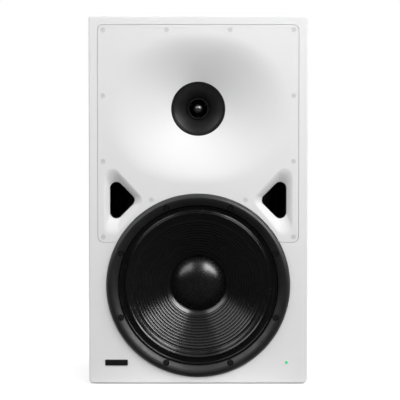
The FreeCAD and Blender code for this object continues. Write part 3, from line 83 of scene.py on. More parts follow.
# Places from the frame, and the picture's middle on the front plane, in metres

BOX_LOW, BOX_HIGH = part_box("front_baffle")
PLATE_LOW, PLATE_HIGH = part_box("waveguide_plate")
FRONT_Y = BOX_LOW.y
WOOFER = Vector((0, FRONT_Y, middle_of("woofer_cone").z))
TWEETER = Vector((0, FRONT_Y, middle_of("throat_insert").z))
PORT_Z = middle_of("left_port_duct").z
LED = middle_of("status_light")
PICTURE_MIDDLE = Vector((0.002636, FRONT_Y, 0.27104))

# Radii, and depths behind the front plane, from the frame, in millimetres

HORN = (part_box("throat_insert")[0].y - FRONT_Y) / MM
THROAT_END = (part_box("throat_insert")[1].y - FRONT_Y) / MM
MOUTH = (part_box("left_port_duct")[0].y - FRONT_Y) / MM
TRIM_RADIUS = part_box("woofer_trim_ring")[1].x / MM
CAP_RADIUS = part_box("woofer_dust_cap")[1].x / MM

# Cabinet front, in millimetres, with the hair's depth between a flat and the curve that leaves it

HAIR = 0.01
EDGE_ROUND = 1.7
EDGE_LAND = 0.4
BOX_CORNER = 5
LEAST_CORNER = 0.5
RECESS_DEPTH = 7
LED_HOLE = 2.1
LED_HOLE_DEPTH = 6

# Waveguide, in millimetres

GROOVE = 0.5
PLATE_CORNER = 8
PLATE_WALL = 4
PLATE_BREAK = 0.4
HORN_MOUTH = (132, 110)
HORN_END = 40
HORN_NECK = 6
PORT_OUTER = 129.5
PORT_INNER = 89.5
PORT_HALF = 40
PORT_CORNER = 9.3
FLARE_REACH = 9
FLARE_LAND = 0.4
FLARE_ROUND = 3
LAND_ROUND = 3.1
FLARE_RISE = 3
FLARE_DROP = 7
SINK_RADIUS = 3.8
SINK_FLOOR = 3.0
SINK_DEPTH = 1.6
SCREW_INSET = 7.5
SCREW_PITCH = 96
SCREW_X = PLATE_HIGH.x / MM - SCREW_INSET
ARC_SCREW = (69, 256)
PLATE_SCREWS = [
    (SCREW_X / 3, SCREW_INSET),
    (SCREW_X, SCREW_INSET),
    (SCREW_X, SCREW_INSET + SCREW_PITCH),
    (SCREW_X, SCREW_INSET + 2 * SCREW_PITCH),
    (SCREW_X, (PLATE_HIGH.z - PLATE_LOW.z) / MM - SCREW_INSET),
    ARC_SCREW,
]

# Woofer, in millimetres

SCREW_CIRCLE = 122.8
SCREW_HOLE = 4.7
CONE_NECK = 26
CONE_EDGE = 97
CONE_FLANGE = 102
CONE_FRONT = 5.3
CONE_DEPTH = 44
CONE_WALL = 1.2
NECK_WALL = 1.44
RIB_START = 47
RIB_PITCH = 4
RIB_GAP = 0.12
CAP_HEIGHT = 16
CAP_LIP = 0.8
CAP_PROUD = 0.1
CAP_WALL = 1

# Badge and knob mark, in millimetres, with the mark's place and length as shares of the knob's radius

BADGE_CORNER = 1
BADGE_BREAK = 0.25
MARK_WIDTH = 1.2
MARK_THICKNESS = 0.5
MARK_SUNK = 0.35
MARK_PLAY = 0.04
MARK_PLACE = 0.65
MARK_LENGTH = 0.5

# Curves of the horn and the flares, without a unit

HORN_BEND = 3.5
HORN_SQUARE = 0.3
HORN_LAND = 1.01
FLARE_BEND = 1.6

# Numbers of screws, and of steps in round and curved stretches

WOOFER_SCREWS = 8
EDGE_STEPS = 8
CORNER_STEPS = 8
PROFILE_STEPS = 6
FLARE_STEPS = 10
PORT_STEPS = 14
ARC_STEPS = 120
LED_STEPS = 24
SINK_STEPS = 28
SECTOR_STEPS = 24
RIB_STEPS = 8
CAP_STEPS = 28


# Settings


class MonitorSizes(bpy.types.PropertyGroup):
    """Sizes of the drawn pieces and of the studio."""

    horn_rings: IntProperty(
        name="Horn rings", description="Rings of faces down the horn", default=18, min=6
    )
    horn_sides: IntProperty(
        name="Horn sides", description="Faces round the horn", default=144, min=32
    )
    turn_steps: IntProperty(
        name="Turning steps", description="Steps of each turned piece", default=192, min=48
    )
    rib_count: IntProperty(
        name="Cone ridges", description="Concentric ridges of the cone", default=12, min=1
    )
    rib_height: FloatProperty(
        name="Ridge height", description="Height of a cone ridge", default=0.7 * MM, unit="LENGTH"
    )
    surround_parts: IntProperty(
        name="Surround parts", description="Sectors that let the surround flex", default=16, min=8
    )
    camera_distance: FloatProperty(
        name="Camera distance", description="Camera to the front of the speaker", default=2.9, unit="LENGTH"
    )
    camera_height: FloatProperty(
        name="Camera height", description="Camera above the floor", default=0.4, unit="LENGTH"
    )
    view_width: FloatProperty(
        name="View width", description="Width of the picture at the front", default=0.58562, unit="LENGTH"
    )
    key_power: FloatProperty(
        name="Right lamp", description="Power of the lamp at the upper right", default=21.5, unit="POWER"
    )
    fill_power: FloatProperty(
        name="Left lamp", description="Power of the lamp at the upper left", default=8.5, unit="POWER"
    )
    front_power: FloatProperty(
        name="Front lamp", description="Power of the lamp near the camera", default=7.2, unit="POWER"
    )
    rear_power: FloatProperty(
        name="Rear lamp", description="Power of the lamp behind the speaker", default=24.0, unit="POWER"
    )
    room_light: FloatProperty(
        name="Room light", description="Strength of the even light of the room", default=0.56, min=0
    )


def colour(name, text, value):
    """A colour setting."""
    return FloatVectorProperty(
        name=name, description=text, default=value, subtype="COLOR", size=3, min=0, max=1
    )


class MonitorColours(bpy.types.PropertyGroup):
    """Colours of the finishes."""

    paint: colour("Cabinet paint", "White paint of the boards", (0.82, 0.82, 0.82))
    waveguide: colour("Waveguide", "White moulding of the waveguide", (0.81, 0.81, 0.81))
    # The screws' grey, darker than the plate's white, is painted shade standing in for the shade in their
    # sinks and sockets; the knob's mark shares it
    screw: colour("White screws", "Painted plate screws and the knob's mark", (0.7, 0.7, 0.7))
    rubber: colour("Rubber", "Trim ring and feet", (0.012, 0.012, 0.0125))
    cone: colour("Cone", "Coated cone, dust cap and surround", (0.004, 0.004, 0.0042))
    plastic: colour("Black plastic", "Throat insert, ducts, badge and sockets", (0.01, 0.01, 0.0105))
    coating: colour("Black coating", "Amplifier panel, heat sink and woofer frame", (0.02, 0.02, 0.022))
    lamp: colour("Status light", "Light of the status lamp", (0.0, 0.62, 0.2))
    board: colour("Sealed board", "Back board and brace", (0.72, 0.72, 0.71))
    circuit: colour("Circuit board", "Lacquer of the circuit board", (0.02, 0.13, 0.06))


# Finishes


NOISE_LOW, NOISE_HIGH = 0.3, 0.7


def put(node, **values):
    """Sets sockets of a node, by name with underscores."""
    for name, value in values.items():
        node.inputs[name.replace("_", " ")].default_value = value
    return node


class Wiring:
    """Nodes of a material or a world, and the links between them."""

    def __init__(self, owner):
        owner.use_nodes = True
        self.nodes = owner.node_tree.nodes
        self.links = owner.node_tree.links
        self.place = self.nodes.new("ShaderNodeTexCoord").outputs["Object"]

    def along(self, axis):
        """One coordinate of the place."""
        parts = self.nodes.new("ShaderNodeSeparateXYZ")
        self.links.new(self.place, parts.inputs["Vector"])
        return parts.outputs[axis]

    def ramp(self, value, start, stop, low=0.0, high=1.0, kind="SMOOTHSTEP"):
        """Goes from low to high while a value goes from start to stop."""
        span = self.nodes.new("ShaderNodeMapRange")
        span.interpolation_type = kind
        put(span, From_Min=start, From_Max=stop, To_Min=low, To_Max=high)
        self.links.new(value, span.inputs["Value"])
        return span.outputs["Result"]

    def mix(self, factor, first, second):
        """A Mix Shader between two shaders."""
        made = self.nodes.new("ShaderNodeMixShader")
        self.links.new(factor, made.inputs["Fac"])
        self.links.new(first, made.inputs[1])
        self.links.new(second, made.inputs[2])
        return made.outputs["Shader"]

    def by_ray(self, plain, mirrored, seen):
        """One shader for what is looked at, one for mirror images and a plain one for other light."""
        path = self.nodes.new("ShaderNodeLightPath")
        shown = self.mix(path.outputs["Is Glossy Ray"], plain, mirrored)
        shown = self.mix(path.outputs["Is Transmission Ray"], shown, seen)
        return self.mix(path.outputs["Is Camera Ray"], shown, seen)


class Finish(Wiring):
    """A material whose patterns lie on the piece's own coordinates."""

    def __init__(self, name, tone, roughness, metallic=0.0):
        self.material = bpy.data.materials.new(name)
        super().__init__(self.material)
        self.shader = self.nodes["Principled BSDF"]
        self.tone = tone
        self.set(Base_Color=(*tone, 1.0), Roughness=roughness, Metallic=metallic)

    def set(self, **values):
        """Sets sockets of the shader, by name with underscores."""
        put(self.shader, **values)
        return self

    def noise(self, scale, detail=3.0, stretch=(1, 1, 1)):
        """Cloudy pattern, with a stretch for streaks."""
        mapping = put(self.nodes.new("ShaderNodeMapping"), Scale=stretch)
        texture = put(self.nodes.new("ShaderNodeTexNoise"), Scale=scale, Detail=detail)
        self.links.new(self.place, mapping.inputs["Vector"])
        self.links.new(mapping.outputs["Vector"], texture.inputs["Vector"])
        return texture.outputs["Fac"]

    def cells(self, scale):
        """Pattern of small round cells."""
        texture = put(self.nodes.new("ShaderNodeTexVoronoi"), Scale=scale)
        self.links.new(self.place, texture.inputs["Vector"])
        return texture.outputs["Distance"]

    def tint(self, value, spread):
        """Lets the colour vary by a share up and down."""
        ramp = self.nodes.new("ShaderNodeValToRGB")
        stops = ramp.color_ramp.elements
        for stop, share, position in zip(stops, (1 - spread, 1 + spread), (NOISE_LOW, NOISE_HIGH)):
            stop.color = (*[min(1.0, part * share) for part in self.tone], 1.0)
            stop.position = position
        self.links.new(value, ramp.inputs["Fac"])
        self.links.new(ramp.outputs["Color"], self.shader.inputs["Base Color"])
        return self

    def gloss(self, value, low, high):
        """Lets the roughness vary between two values."""
        span = self.ramp(value, NOISE_LOW, NOISE_HIGH, low, high, "LINEAR")
        self.links.new(span, self.shader.inputs["Roughness"])
        return self

    def relief(self, value, strength, height):
        """Raises a fine relief."""
        bump = put(self.nodes.new("ShaderNodeBump"), Strength=strength, Distance=height)
        self.links.new(value, bump.inputs["Height"])
        self.links.new(bump.outputs["Normal"], self.shader.inputs["Normal"])
        return self


def satin_paint(name, tone, roughness):
    """Sprayed white paint: a faint orange peel and a slightly uneven sheen."""
    paint = Finish(name, tone, roughness).set(Specular_IOR_Level=0.25)
    paint.tint(paint.noise(9, 2), 0.012).gloss(paint.noise(60, 4), roughness - 0.05, roughness + 0.05)
    return paint.relief(paint.noise(420, 2), 0.05, 0.0002).material


def grained_black(name, tone, roughness, scale, relief, level=0.5):
    """Black rubber or moulded plastic with a fine grain."""
    black = Finish(name, tone, roughness).set(Specular_IOR_Level=level)
    black.tint(black.noise(40, 4), 0.25).gloss(black.noise(90, 4), roughness - 0.06, roughness + 0.06)
    return black.relief(black.cells(scale), relief, 0.0003).material


def coated_cone(name, tone, roughness, grain, coat):
    """Pressed fibre under a black coating: short fibres show as specks in the sheen."""
    cone = Finish(name, tone, roughness)
    cone.set(Specular_IOR_Level=1.0, Coat_Weight=coat, Coat_Roughness=roughness)
    fibres = cone.noise(520, 5)
    cone.tint(cone.noise(130, 5), 0.35).gloss(fibres, roughness - 0.05 * grain, roughness + 0.07 * grain)
    return cone.relief(fibres, 0.05 * grain, 0.0003).material


def brushed_metal(name, tone, roughness, stretch=(1, 1, 1)):
    """Bare metal with tool marks, along one direction where they are stretched."""
    metal = Finish(name, tone, roughness, 1.0)
    marks = metal.noise(300, 3, stretch)
    metal.tint(metal.noise(30, 3), 0.12).gloss(marks, roughness - 0.07, roughness + 0.07)
    return metal.relief(marks, 0.08, 0.0001).material


def powder_coat(name, tone, roughness):
    """Powder coat or anodising on metal, with its fine pebble."""
    coat = Finish(name, tone, roughness)
    coat.tint(coat.noise(25, 3), 0.2).gloss(coat.noise(150, 3), roughness - 0.05, roughness + 0.05)
    return coat.relief(coat.noise(900, 2), 0.2, 0.0002).material


def sealed_board(name, tone):
    """Fibre board under a thin white sealer, which lets the fibres show."""
    board = Finish(name, tone, 0.6)
    board.tint(board.noise(260, 6), 0.05).gloss(board.noise(80, 4), 0.55, 0.68)
    return board.relief(board.noise(500, 4), 0.15, 0.0003).material


def open_foam(name):
    """Dark grey foam with open cells."""
    foam = Finish(name, (0.05, 0.05, 0.055), 0.95)
    foam.tint(foam.noise(60, 3), 0.2)
    return foam.relief(foam.cells(280), 0.9, 0.002).material


def woven_cloth(name):
    """Resin-stiffened yellow-brown cloth."""
    cloth = Finish(name, (0.35, 0.22, 0.09), 0.75)
    cloth.tint(cloth.noise(400, 2, (1, 1, 6)), 0.3)
    return cloth.relief(cloth.noise(900, 2, (6, 1, 1)), 0.5, 0.0003).material


def glowing_lens(name, tone):
    """Frosted lens with a green diode behind it."""
    lens = Finish(name, tone, 0.3)
    lens.tint(lens.noise(900, 2), 0.1)
    return lens.set(Emission_Color=(*tone, 1.0), Emission_Strength=0.22).material


def lacquered_board(name, tone):
    """Circuit board: green lacquer over faint tracks."""
    board = Finish(name, tone, 0.35)
    tracks = board.noise(120, 1, (1, 1, 0.15))
    return board.tint(tracks, 0.35).relief(tracks, 0.2, 0.0001).material


def make_finishes(colours):
    """Every finish by the name of its slot in the record."""
    return {
        "cabinet_paint": satin_paint("cabinet_paint", colours.paint, 0.62),
        "waveguide_white": satin_paint("waveguide_white", colours.waveguide, 0.45),
        # Grey screw paint: painted shade of the screw sinks, not a lighter coat
        "white_screw": satin_paint("white_screw", colours.screw, 0.3),
        "raw_board": sealed_board("raw_board", colours.board),
        "rubber_black": grained_black("rubber_black", colours.rubber, 0.44, 1400, 0.1, 1.0),
        "surround_rubber": grained_black("surround_rubber", colours.cone, 0.22, 1200, 0.03, 1.0),
        "plastic_black": grained_black("plastic_black", colours.plastic, 0.42, 1500, 0.08),
        "frame_black": powder_coat("frame_black", colours.coating, 0.5),
        "dark_metal": brushed_metal("dark_metal", (0.5, 0.495, 0.49), 0.36),
        "screw_black": brushed_metal("screw_black", (0.35, 0.35, 0.355), 0.2),
        "cone_black": coated_cone("cone_black", colours.cone, 0.2, 1.0, 0.6),
        "cap_black": coated_cone("cap_black", colours.cone, 0.27, 0.25, 1.0),
        "steel": brushed_metal("steel", (0.5, 0.5, 0.51), 0.3, (1, 1, 8)),
        "brass": brushed_metal("brass", (0.62, 0.42, 0.14), 0.3, (1, 1, 8)),
        "titanium": brushed_metal("titanium", (0.42, 0.41, 0.39), 0.3),
        "copper": brushed_metal("copper", (0.65, 0.25, 0.11), 0.35, (1, 12, 1)),
        "magnet": grained_black("magnet", (0.05, 0.05, 0.052), 0.6, 900, 0.2),
        "coil_former": brushed_metal("coil_former", (0.55, 0.5, 0.35), 0.45, (1, 6, 1)),
        "spider_cloth": woven_cloth("spider_cloth"),
        "foam": open_foam("foam"),
        "led_green": glowing_lens("led_green", colours.lamp),
        "circuit_board": lacquered_board("circuit_board", colours.circuit),
        "capacitor": grained_black("capacitor", (0.02, 0.03, 0.06), 0.4, 700, 0.05),
    }


SLOT_OF = {part["node"]: part["material_slot"] for part in frame["record"]["subparts"]}
FINISHES = {}


def finish_of(slot):
    """The finish of a slot, made on first use."""
    if not FINISHES:
        FINISHES.update(make_finishes(bpy.context.scene.monitor_colours))
    return FINISHES[slot]


def dress(*nodes):
    """Gives CAD nodes the finish of their slots."""
    for node in nodes:
        materials = frame["nodes"][node].data.materials
        materials.clear()
        materials.append(finish_of(SLOT_OF[node]))


# Modelling helpers


def at(x, depth, z):
    """A point by millimetres across, behind the front plane, and metres up."""
    return Vector((x * MM, FRONT_Y + depth * MM, z))


def outward(turn):
    """Direction in the upright plane, by its angle from the right."""
    return Vector((math.cos(turn), 0, math.sin(turn)))


def upright(spot):
    """Stands a flat shape up in the front plane at a spot."""
    return Matrix.Translation(spot) @ Matrix.Rotation(math.pi / 2, 4, "X")


def chain(mesh, points, closed=True):
    """Vertices joined by edges."""
    verts = [mesh.verts.new(point) for point in points]
    ends = verts[1:] + verts[:1] if closed else verts[1:]
    for pair in zip(verts, ends):
        mesh.edges.new(pair)
    return verts


def soften(mesh, items, cut, segments, affect="VERTICES"):
    """Rounds corners of an outline, or edges, by a cut in millimetres."""
    bmesh.ops.bevel(
        mesh, geom=items, offset=cut * MM, affect=affect, segments=segments, profile=0.5, material=-1
    )


def new_edges(mesh, before):
    """Edges made since an earlier set of the mesh's edges."""
    return [edge for edge in mesh.edges if edge not in before]


def rounded_loop(mesh, points, cut):
    """A closed outline with rounded corners, as its edges."""
    before = set(mesh.edges)
    for corner in chain(mesh, points):
        soften(mesh, [corner], cut, CORNER_STEPS)
    return new_edges(mesh, before)


def ring(mesh, centre, radius, segments):
    """A round loop in the upright plane, as its vertices and edges."""
    made = bmesh.ops.create_circle(
        mesh, cap_ends=False, segments=segments, radius=radius, matrix=upright(centre)
    )
    edges = list({edge for vert in made["verts"] for edge in vert.link_edges})
    return made["verts"], edges


def arc(mesh, first, centre, angle, steps):
    """Spins a vertex round a centre in the upright plane, and gives the last vertex."""
    last = bmesh.ops.spin(
        mesh, geom=[first], cent=centre, axis=(0, 1, 0), dvec=(0, 0, 0),
        angle=angle, steps=steps, use_merge=False,
    )["geom_last"]
    return next(item for item in last if isinstance(item, bmesh.types.BMVert))


def block(middle, size):
    """A box mesh by its middle and its three sizes."""
    mesh = bmesh.new()
    bmesh.ops.create_cube(mesh, size=1, matrix=Matrix.Translation(middle) @ Matrix.Diagonal((*size, 1)))
    return mesh


def bridge(mesh, loops):
    """Faces between each loop and the next."""
    for near, far in zip(loops, loops[1:]):
        bmesh.ops.bridge_loops(mesh, edges=near + far)


def shade(data, sharp=SHARP):
    """Smooth faces, apart from edges sharper than an angle in degrees."""
    data.shade_smooth()
    data.set_sharp_from_angle(angle=math.radians(sharp))


def new_object(mesh, name, slot, sharp=SHARP):
    """An object from a bmesh, smooth apart from its sharp edges."""
    data = bpy.data.meshes.new(name)
    mesh.to_mesh(data)
    mesh.free()
    shade(data, sharp)
    data.materials.append(finish_of(slot))
    piece = bpy.data.objects.new(name, data)
    bpy.context.scene.collection.objects.link(piece)
    return piece


def settle(piece):
    """Applies the modifiers and marks the sharp edges again."""
    graph = bpy.context.evaluated_depsgraph_get()
    data = bpy.data.meshes.new_from_object(piece.evaluated_get(graph), depsgraph=graph)
    piece.modifiers.clear()
    piece.data = data
    shade(data)


def fit(piece, body, slot, *nodes):
    """The piece rides on a body and stands for CAD nodes."""
    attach(piece, body)
    if nodes:
        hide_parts(*nodes)


def turned(outline, axis, steps, sweep=FULL_TURN, start=0.0):
    """A mesh spun from (radius, depth) or (radius, depth, rounding) points in millimetres."""
    mesh = bmesh.new()
    closed = all(point[0] > 0 for point in outline)
    verts = chain(mesh, [axis + Vector((p[0] * MM, p[1] * MM, 0)) for p in outline], closed)
    for vert, point in zip(verts, outline):
        if len(point) > 2:
            soften(mesh, [vert], point[2], PROFILE_STEPS)
    if start:
        turn = Matrix.Rotation(start, 3, "Y")
        bmesh.ops.rotate(mesh, cent=axis, matrix=turn, verts=mesh.verts[:])
    full = sweep == FULL_TURN
    bmesh.ops.spin(
        mesh, geom=mesh.verts[:] + mesh.edges[:], cent=axis, axis=(0, 1, 0), dvec=(0, 0, 0),
        angle=sweep, steps=steps, use_merge=full,
    )
    bmesh.ops.remove_doubles(mesh, verts=mesh.verts[:], dist=TOUCHING)
    if not full:
        bmesh.ops.holes_fill(mesh, edges=[e for e in mesh.edges if e.is_boundary], sides=0)
    bmesh.ops.recalc_face_normals(mesh, faces=mesh.faces[:])
    return mesh


def swept(start, leave, arrive, end, count=14):
    """Points of a smooth curve between two profile points, given the two handles."""
    knots = [Vector((*point, 0)) for point in (start, leave, arrive, end)]
    return [(p.x, p.y) for p in interpolate_bezier(*knots, count)]


def cut_away(piece, cutter):
    """Takes the cutter's shape out of a piece and removes the cutter."""
    modifier = piece.modifiers.new("cut", "BOOLEAN")
    modifier.operation = "DIFFERENCE"
    modifier.solver = "EXACT"
    modifier.object = cutter
    settle(piece)
    data = cutter.data
    bpy.data.objects.remove(cutter)
    bpy.data.meshes.remove(data)


def plate_screw_spots():
    """Places of the plate's screws as (x in millimetres, z in metres)."""
    return [(side * x, PLATE_HIGH.z - drop * MM) for x, drop in PLATE_SCREWS for side in (-1, 1)]


def port_loop(mesh, side, grow, corner, depth, spread):
    """The port's rounded triangle at a depth, as its edges.

    It is grown outward in millimetres, and spread up and down by a share of the flare's run.
    """
    before = set(mesh.edges)
    out = grow - corner
    half = PORT_HALF + (1 + ROOT_2) * out
    spots = [
        (PORT_OUTER + out, half + FLARE_RISE * spread, 0, 135),
        (PORT_INNER - ROOT_2 * out, 0, 135, 90),
        (PORT_OUTER + out, -half - FLARE_DROP * spread, 225, 135),
    ]
    ends = []
    for x, rise, start, sweep in spots:
        centre = at(x, depth, PORT_Z + rise * MM)
        first = mesh.verts.new(centre + outward(math.radians(start)) * corner * MM)
        ends.append((first, arc(mesh, first, centre, -math.radians(sweep), PORT_STEPS)))
    for (_, last), (first, _) in zip(ends, ends[1:] + ends[:1]):
        mesh.edges.new((last, first))
    edges = new_edges(mesh, before)
    if side < 0:
        verts = list({vert for edge in edges for vert in edge.verts})
        bmesh.ops.scale(mesh, verts=verts, vec=(-1, 1, 1))
    return edges


def horn_sink(share):
    """Depth of the horn's curve before it is scaled: level at the mouth, steeper further in."""
    return share - (1 - math.exp(-HORN_BEND * share)) / HORN_BEND


def horn_loop(mesh, share, sides, swell=1.0):
    """A section of the horn, a share of the way in from its mouth, between an oval and a circle."""
    depth = HORN * horn_sink(share) / horn_sink(1)
    half_x, half_z = [(mouth - (mouth - HORN_END) * share) * swell for mouth in HORN_MOUTH]
    power = 2 / (2 + HORN_SQUARE * (1 - share))
    verts, edges = ring(mesh, Vector(), 1.0, sides)
    for vert in verts:
        across = math.copysign(abs(vert.co.x) ** power, vert.co.x)
        up = math.copysign(abs(vert.co.z) ** power, vert.co.z)
        vert.co = at(half_x * across, depth, TWEETER.z + half_z * up * MM)
    return edges


def woofer_arc(mesh, radius, height, over):
    """Ends of an open arc round the woofer, right and left, over or under it, at a height."""
    rise = height - WOOFER.z
    reach = math.sqrt(radius * radius - rise * rise)
    first = mesh.verts.new(Vector((reach, FRONT_Y, height)))
    half = math.atan2(reach, rise)
    angle = -2 * half if over else 2 * (math.pi - half)
    return first, arc(mesh, first, WOOFER, angle, ARC_STEPS)


def plate_loop(mesh, grow, over):
    """Outline of the waveguide plate, grown by millimetres and closed by the arc round the woofer."""
    before = set(mesh.edges)
    left, right = PLATE_LOW.x - grow * MM, PLATE_HIGH.x + grow * MM
    low, high = PLATE_LOW.z - grow * MM, PLATE_HIGH.z + grow * MM
    first, last = woofer_arc(mesh, (TRIM_RADIUS + GROOVE) * MM, low, over)
    spots = [(left, low), (left, high), (right, high), (right, low)]
    corners = [mesh.verts.new(Vector((x, FRONT_Y, z))) for x, z in spots]
    line = [last, *corners, first]
    for pair in zip(line, line[1:]):
        mesh.edges.new(pair)
    for corner in corners:
        soften(mesh, [corner], PLATE_CORNER + grow, CORNER_STEPS)
    return new_edges(mesh, before)


def face_front(mesh):
    """Turns an open front skin so that its flat faces look forward."""
    bmesh.ops.recalc_face_normals(mesh, faces=mesh.faces[:])
    mesh.normal_update()
    widest = max(mesh.faces, key=lambda face: face.calc_area() * abs(face.normal.y))
    if widest.normal.y > 0:
        bmesh.ops.reverse_faces(mesh, faces=mesh.faces[:])


def thicken(piece, thickness, cut):
    """Gives a front skin its wall and breaks its hard edges, both in millimetres."""
    wall = piece.modifiers.new("wall", "SOLIDIFY")
    wall.thickness = thickness * MM
    wall.offset = -1
    edge = piece.modifiers.new("edge", "BEVEL")
    edge.width = cut * MM
    edge.segments = 2
    edge.limit_method = "ANGLE"
    edge.angle_limit = math.radians(60)
    settle(piece)
    flats = piece.modifiers.new("flats", "WEIGHTED_NORMAL")
    flats.keep_sharp = True
    flats.weight = 80


def cone_depth(radius):
    """Depth of the cone's face behind the front plane, without its ridges."""
    return CONE_FRONT + CONE_DEPTH * (CONE_EDGE - radius) / (CONE_EDGE - CONE_NECK)


# Pieces


class MONITOR_OT_cabinet_front(bpy.types.Operator):
    """Front board with its rounded edges and the recess for the plate and the woofer"""

    bl_idname = "monitor.cabinet_front"
    bl_label = "Cabinet front"

    def execute(self, context):
        mesh = bmesh.new()
        levels = [(0.0, (BOX_HIGH.y - BOX_LOW.y) / MM), (0.0, EDGE_ROUND)]
        for step in range(1, EDGE_STEPS + 1):
            turn = math.pi / 2 * step / EDGE_STEPS
            levels.append((EDGE_ROUND * (1 - math.cos(turn)), HAIR + EDGE_ROUND * (1 - math.sin(turn))))
        levels.append((EDGE_ROUND + EDGE_LAND, 0.0))
        loops = []
        for inset, level in levels:
            x, low, high = BOX_HIGH.x / MM - inset, BOX_LOW.z + inset * MM, BOX_HIGH.z - inset * MM
            points = [at(-x, level, low), at(x, level, low), at(x, level, high), at(-x, level, high)]
            loops.append(rounded_loop(mesh, points, max(BOX_CORNER - inset, LEAST_CORNER)))
        bridge(mesh, loops)
        recess = plate_loop(mesh, GROOVE, False)
        hole = ring(mesh, Vector((LED.x, FRONT_Y, LED.z)), LED_HOLE * MM, LED_STEPS)[1]
        bmesh.ops.triangle_fill(mesh, edges=loops[-1] + recess + hole, use_beauty=True, normal=(0, -1, 0))
        for edges, sunk in ((recess, RECESS_DEPTH), (hole, LED_HOLE_DEPTH)):
            made = bmesh.ops.extrude_edge_only(mesh, edges=edges)["geom"]
            moved = [item for item in made if isinstance(item, bmesh.types.BMVert)]
            bmesh.ops.translate(mesh, verts=moved, vec=(0, sunk * MM, 0))
        face_front(mesh)
        piece = new_object(mesh, "cabinet_front", "cabinet_paint")
        fit(piece, "cabinet", "cabinet_paint", "front_baffle")
        return {"FINISHED"}


class MONITOR_OT_cabinet_boards(bpy.types.Operator):
    """Painted boards, brace, damping foam, feet and stand inserts"""

    bl_idname = "monitor.cabinet_boards"
    bl_label = "Cabinet boards"

    def execute(self, context):
        dress("left_side_panel", "right_side_panel", "top_panel", "bottom_panel", "back_panel")
        dress("cabinet_brace", "damping_foam", "rubber_feet", "stand_inserts")
        return {"FINISHED"}


class MONITOR_OT_waveguide(bpy.types.Operator):
    """Waveguide plate with its horn, two flared port mouths and screw sinks"""

    bl_idname = "monitor.waveguide"
    bl_label = "Waveguide"

    def execute(self, context):
        sizes = context.scene.monitor_sizes
        mesh = bmesh.new()
        outline = plate_loop(mesh, 0.0, True)
        horn = [horn_loop(mesh, 0.0, sizes.horn_sides, HORN_LAND)]
        for step in range(sizes.horn_rings + 1):
            horn.append(horn_loop(mesh, step / sizes.horn_rings, sizes.horn_sides))
        neck = TWEETER + Vector((0, (HORN + HORN_NECK) * MM, 0))
        horn.append(ring(mesh, neck, HORN_END * MM, sizes.horn_sides)[1])
        bridge(mesh, horn)
        flat = outline + horn[0]
        for side in (-1, 1):
            mouth = [port_loop(mesh, side, FLARE_REACH + FLARE_LAND, PORT_CORNER + LAND_ROUND, 0.0, 1.0)]
            for step in range(FLARE_STEPS + 1):
                share = step / FLARE_STEPS
                rest = 1 - share
                level = HAIR + (MOUTH - HAIR) * share ** FLARE_BEND
                corner = PORT_CORNER + FLARE_ROUND * rest
                mouth.append(port_loop(mesh, side, FLARE_REACH * rest, corner, level, rest))
            bridge(mesh, mouth)
            flat += mouth[0]
        for x, z in plate_screw_spots():
            rim = ring(mesh, at(x, 0, z), SINK_RADIUS * MM, SINK_STEPS)[1]
            bridge(mesh, [rim, ring(mesh, at(x, SINK_DEPTH, z), SINK_FLOOR * MM, SINK_STEPS)[1]])
            flat += rim
        bmesh.ops.triangle_fill(mesh, edges=flat, use_beauty=True, normal=(0, -1, 0))
        face_front(mesh)
        piece = new_object(mesh, "waveguide", "waveguide_white")
        thicken(piece, PLATE_WALL, PLATE_BREAK)
        fit(piece, "cabinet", "waveguide_white", "waveguide_plate")
        return {"FINISHED"}


class MONITOR_OT_waveguide_fixings(bpy.types.Operator):
    """Screws and seal of the waveguide plate"""

    bl_idname = "monitor.waveguide_fixings"
    bl_label = "Waveguide fixings"

    def execute(self, context):
        dress("waveguide_screws", "waveguide_gasket")
        return {"FINISHED"}


class MONITOR_OT_throat(bpy.types.Operator):
    """Black throat insert with its lip and its inner rim"""

    bl_idname = "monitor.throat"
    bl_label = "Throat insert"

    def execute(self, context):
        lip, end = HORN, THROAT_END
        rim, flange, seat, hole = 39.7, 58, 55, 13.5
        reach = end - lip - 7.5
        funnel = swept(
            (36.0, lip + 1.6), (29.0, lip + reach * 0.28), (21.0, lip + reach * 0.62), (16.8, end - 7.5)
        )
        outline = [
            (rim, lip, 0.4), (rim, lip + 6), (flange, lip + 6, 0.6), (flange, lip + 11, 0.6),
            (31.3, lip + 11), (20.3, end - 8), (seat, end - 8, 0.6), (seat, end), (hole, end),
            (hole, end - 9.4, 1.0), (15.8, end - 9.4, 1.1), (15.9, end - 7.6), *funnel[::-1],
            (36.3, lip + 0.9, 0.1), (37.4, lip + 0.7, 0.1), (37.6, lip, 0.2),
        ]
        mesh = turned(outline, TWEETER, context.scene.monitor_sizes.turn_steps)
        piece = new_object(mesh, "throat_funnel", "plastic_black")
        fit(piece, "cabinet", "plastic_black", "throat_insert")
        dress("phase_plug", "insert_screws")
        return {"FINISHED"}


class MONITOR_OT_compression_driver(bpy.types.Operator):
    """Compression driver behind the horn"""

    bl_idname = "monitor.compression_driver"
    bl_label = "Compression driver"

    def execute(self, context):
        dress("driver_bolts", "driver_magnet", "driver_pole_plate", "driver_rear_cover", "driver_top_plate")
        dress("tweeter_clamp_ring", "tweeter_diaphragm", "tweeter_surround", "tweeter_voice_coil")
        return {"FINISHED"}


class MONITOR_OT_ports(bpy.types.Operator):
    """Reflex ducts"""

    bl_idname = "monitor.ports"
    bl_label = "Port ducts"

    def execute(self, context):
        dress("left_port_duct", "right_port_duct")
        return {"FINISHED"}


